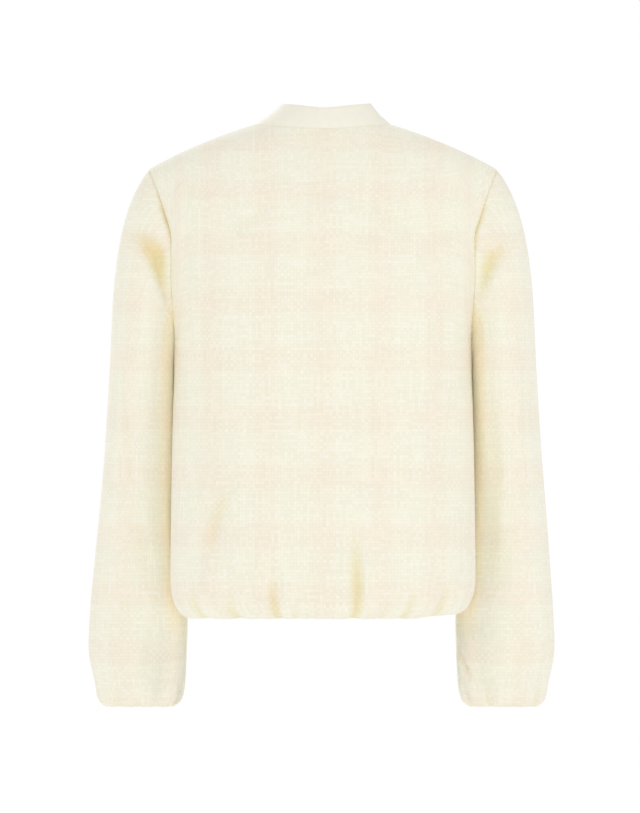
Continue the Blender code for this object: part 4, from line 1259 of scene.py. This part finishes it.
class JACKET_OT_zip(bpy.types.Operator):
    """Build the zip: tapes, teeth, and the finish of the slider, pull and box"""

    bl_idname = "jacket.zip"
    bl_label = "Zip"

    def execute(self, context):
        tooth = row_tree("zip_teeth_row", TOOTH_SIZE, TOOTH_HEAD)
        end = chain_end()
        pitch = settings().tooth_pitch
        for name, side in (("zip_tape_left", 1), ("zip_tape_right", -1)):
            item = place(name + "_cloth", tape_mesh(name + "_cloth", side), tape_cloth(), [name])
            points = []
            for k in range(ZIP_STATIONS + 1):
                point, out = front_line(end * k / ZIP_STATIONS)
                points.append(point + Vector((TOOTH_ASIDE * side, 0.0, 0.0)) + out * TOOTH_OUT)
            start = pitch * (0.25 if side > 0 else 0.75)
            teeth = grow_row(name + "_teeth", points, tooth, {
                "Pitch": pitch, "Start": start, "Material": zip_metal()})
            place(name + "_teeth", teeth, zip_metal())
        for name in ("zip_slider", "zip_box", "zip_pull"):
            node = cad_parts[name]
            node.data.materials.clear()
            node.data.materials.append(zip_metal())
        return {"FINISHED"}


class JACKET_OT_stage(bpy.types.Operator):
    """Build the floor, the lights and the camera"""

    bl_idname = "jacket.stage"
    bl_label = "Studio"

    def execute(self, context):
        scene = context.scene
        scene.view_settings.view_transform = "Standard"
        scene.view_settings.look = "None"
        world = bpy.data.worlds.new("studio")
        scene.world = world
        world.use_nodes = True
        wires = Wires(world.node_tree)
        seen = wires.node("ShaderNodeLightPath").outputs["Is Camera Ray"]
        wires.feed(world.node_tree.nodes["Background"], {
            "Color": (1.0, 1.0, 1.0, 1.0), "Strength": wires.blend(seen, 0.83, 1.0)})

        bpy.ops.mesh.primitive_plane_add(size=60.0, location=(0.0, 0.0, -1.15))
        floor = context.object
        floor.name = "floor"
        material, wires, shader = new_material("floor", {
            "Roughness": 0.9, "Emission Color": (1.0, 1.0, 1.0, 1.0)})
        cloudy = wires.noise(wires.node("ShaderNodeTexCoord").outputs["Object"], 3.0)
        seen = wires.node("ShaderNodeLightPath").outputs["Is Camera Ray"]
        wires.feed(shader, {
            "Base Color": wires.mix(cloudy, (0.93, 0.93, 0.93, 1.0), (0.95, 0.95, 0.95, 1.0)),
            "Emission Strength": wires.blend(seen, 0.10, 0.60)})
        floor.data.materials.append(material)

        for name, spot_at, power, size in LIGHTS:
            data = bpy.data.lights.new(name, "AREA")
            data.energy = power
            data.size = size
            lamp = new_item(name, data)
            lamp.location = spot_at
            lamp.rotation_euler = aimed(LIT_POINT - Vector(spot_at))

        data = bpy.data.cameras.new("camera")
        camera = new_item("camera", data)
        distance = settings().camera_distance
        camera.location = Vector(VIEW_MIDDLE) + Vector((0.0, distance, 0.0))
        camera.rotation_euler = aimed(Vector((0.0, -1.0, 0.0)))
        data.lens = data.sensor_width * distance / VIEW_HEIGHT
        data.clip_end = 100.0
        scene.camera = camera
        return {"FINISHED"}


class JACKET_PT_panel(bpy.types.Panel):
    """The jacket's pieces and settings"""

    bl_idname = "JACKET_PT_panel"
    bl_label = "Cropped tweed jacket"
    bl_space_type = "VIEW_3D"
    bl_region_type = "UI"
    bl_category = "Jacket"

    def draw(self, context):
        column = self.layout.column(align=True)
        for operator in OPERATORS:
            column.operator(operator.bl_idname)
        for name in JacketSettings.__annotations__:
            self.layout.prop(context.scene.jacket, name)


OPERATORS = (JACKET_OT_body, JACKET_OT_sleeves, JACKET_OT_collar, JACKET_OT_zip, JACKET_OT_stage)
CLASSES = (JacketSettings,) + OPERATORS + (JACKET_PT_panel,)


def register():
    for item in CLASSES:
        bpy.utils.register_class(item)
    bpy.types.Scene.jacket = bpy.props.PointerProperty(type=JacketSettings)


def unregister():
    del bpy.types.Scene.jacket
    for item in reversed(CLASSES):
        bpy.utils.unregister_class(item)


def main():
    register()
    bpy.ops.jacket.body()
    bpy.ops.jacket.sleeves()
    bpy.ops.jacket.collar()
    bpy.ops.jacket.zip()
    bpy.ops.jacket.stage()


if __name__ == "__main__":
    main()
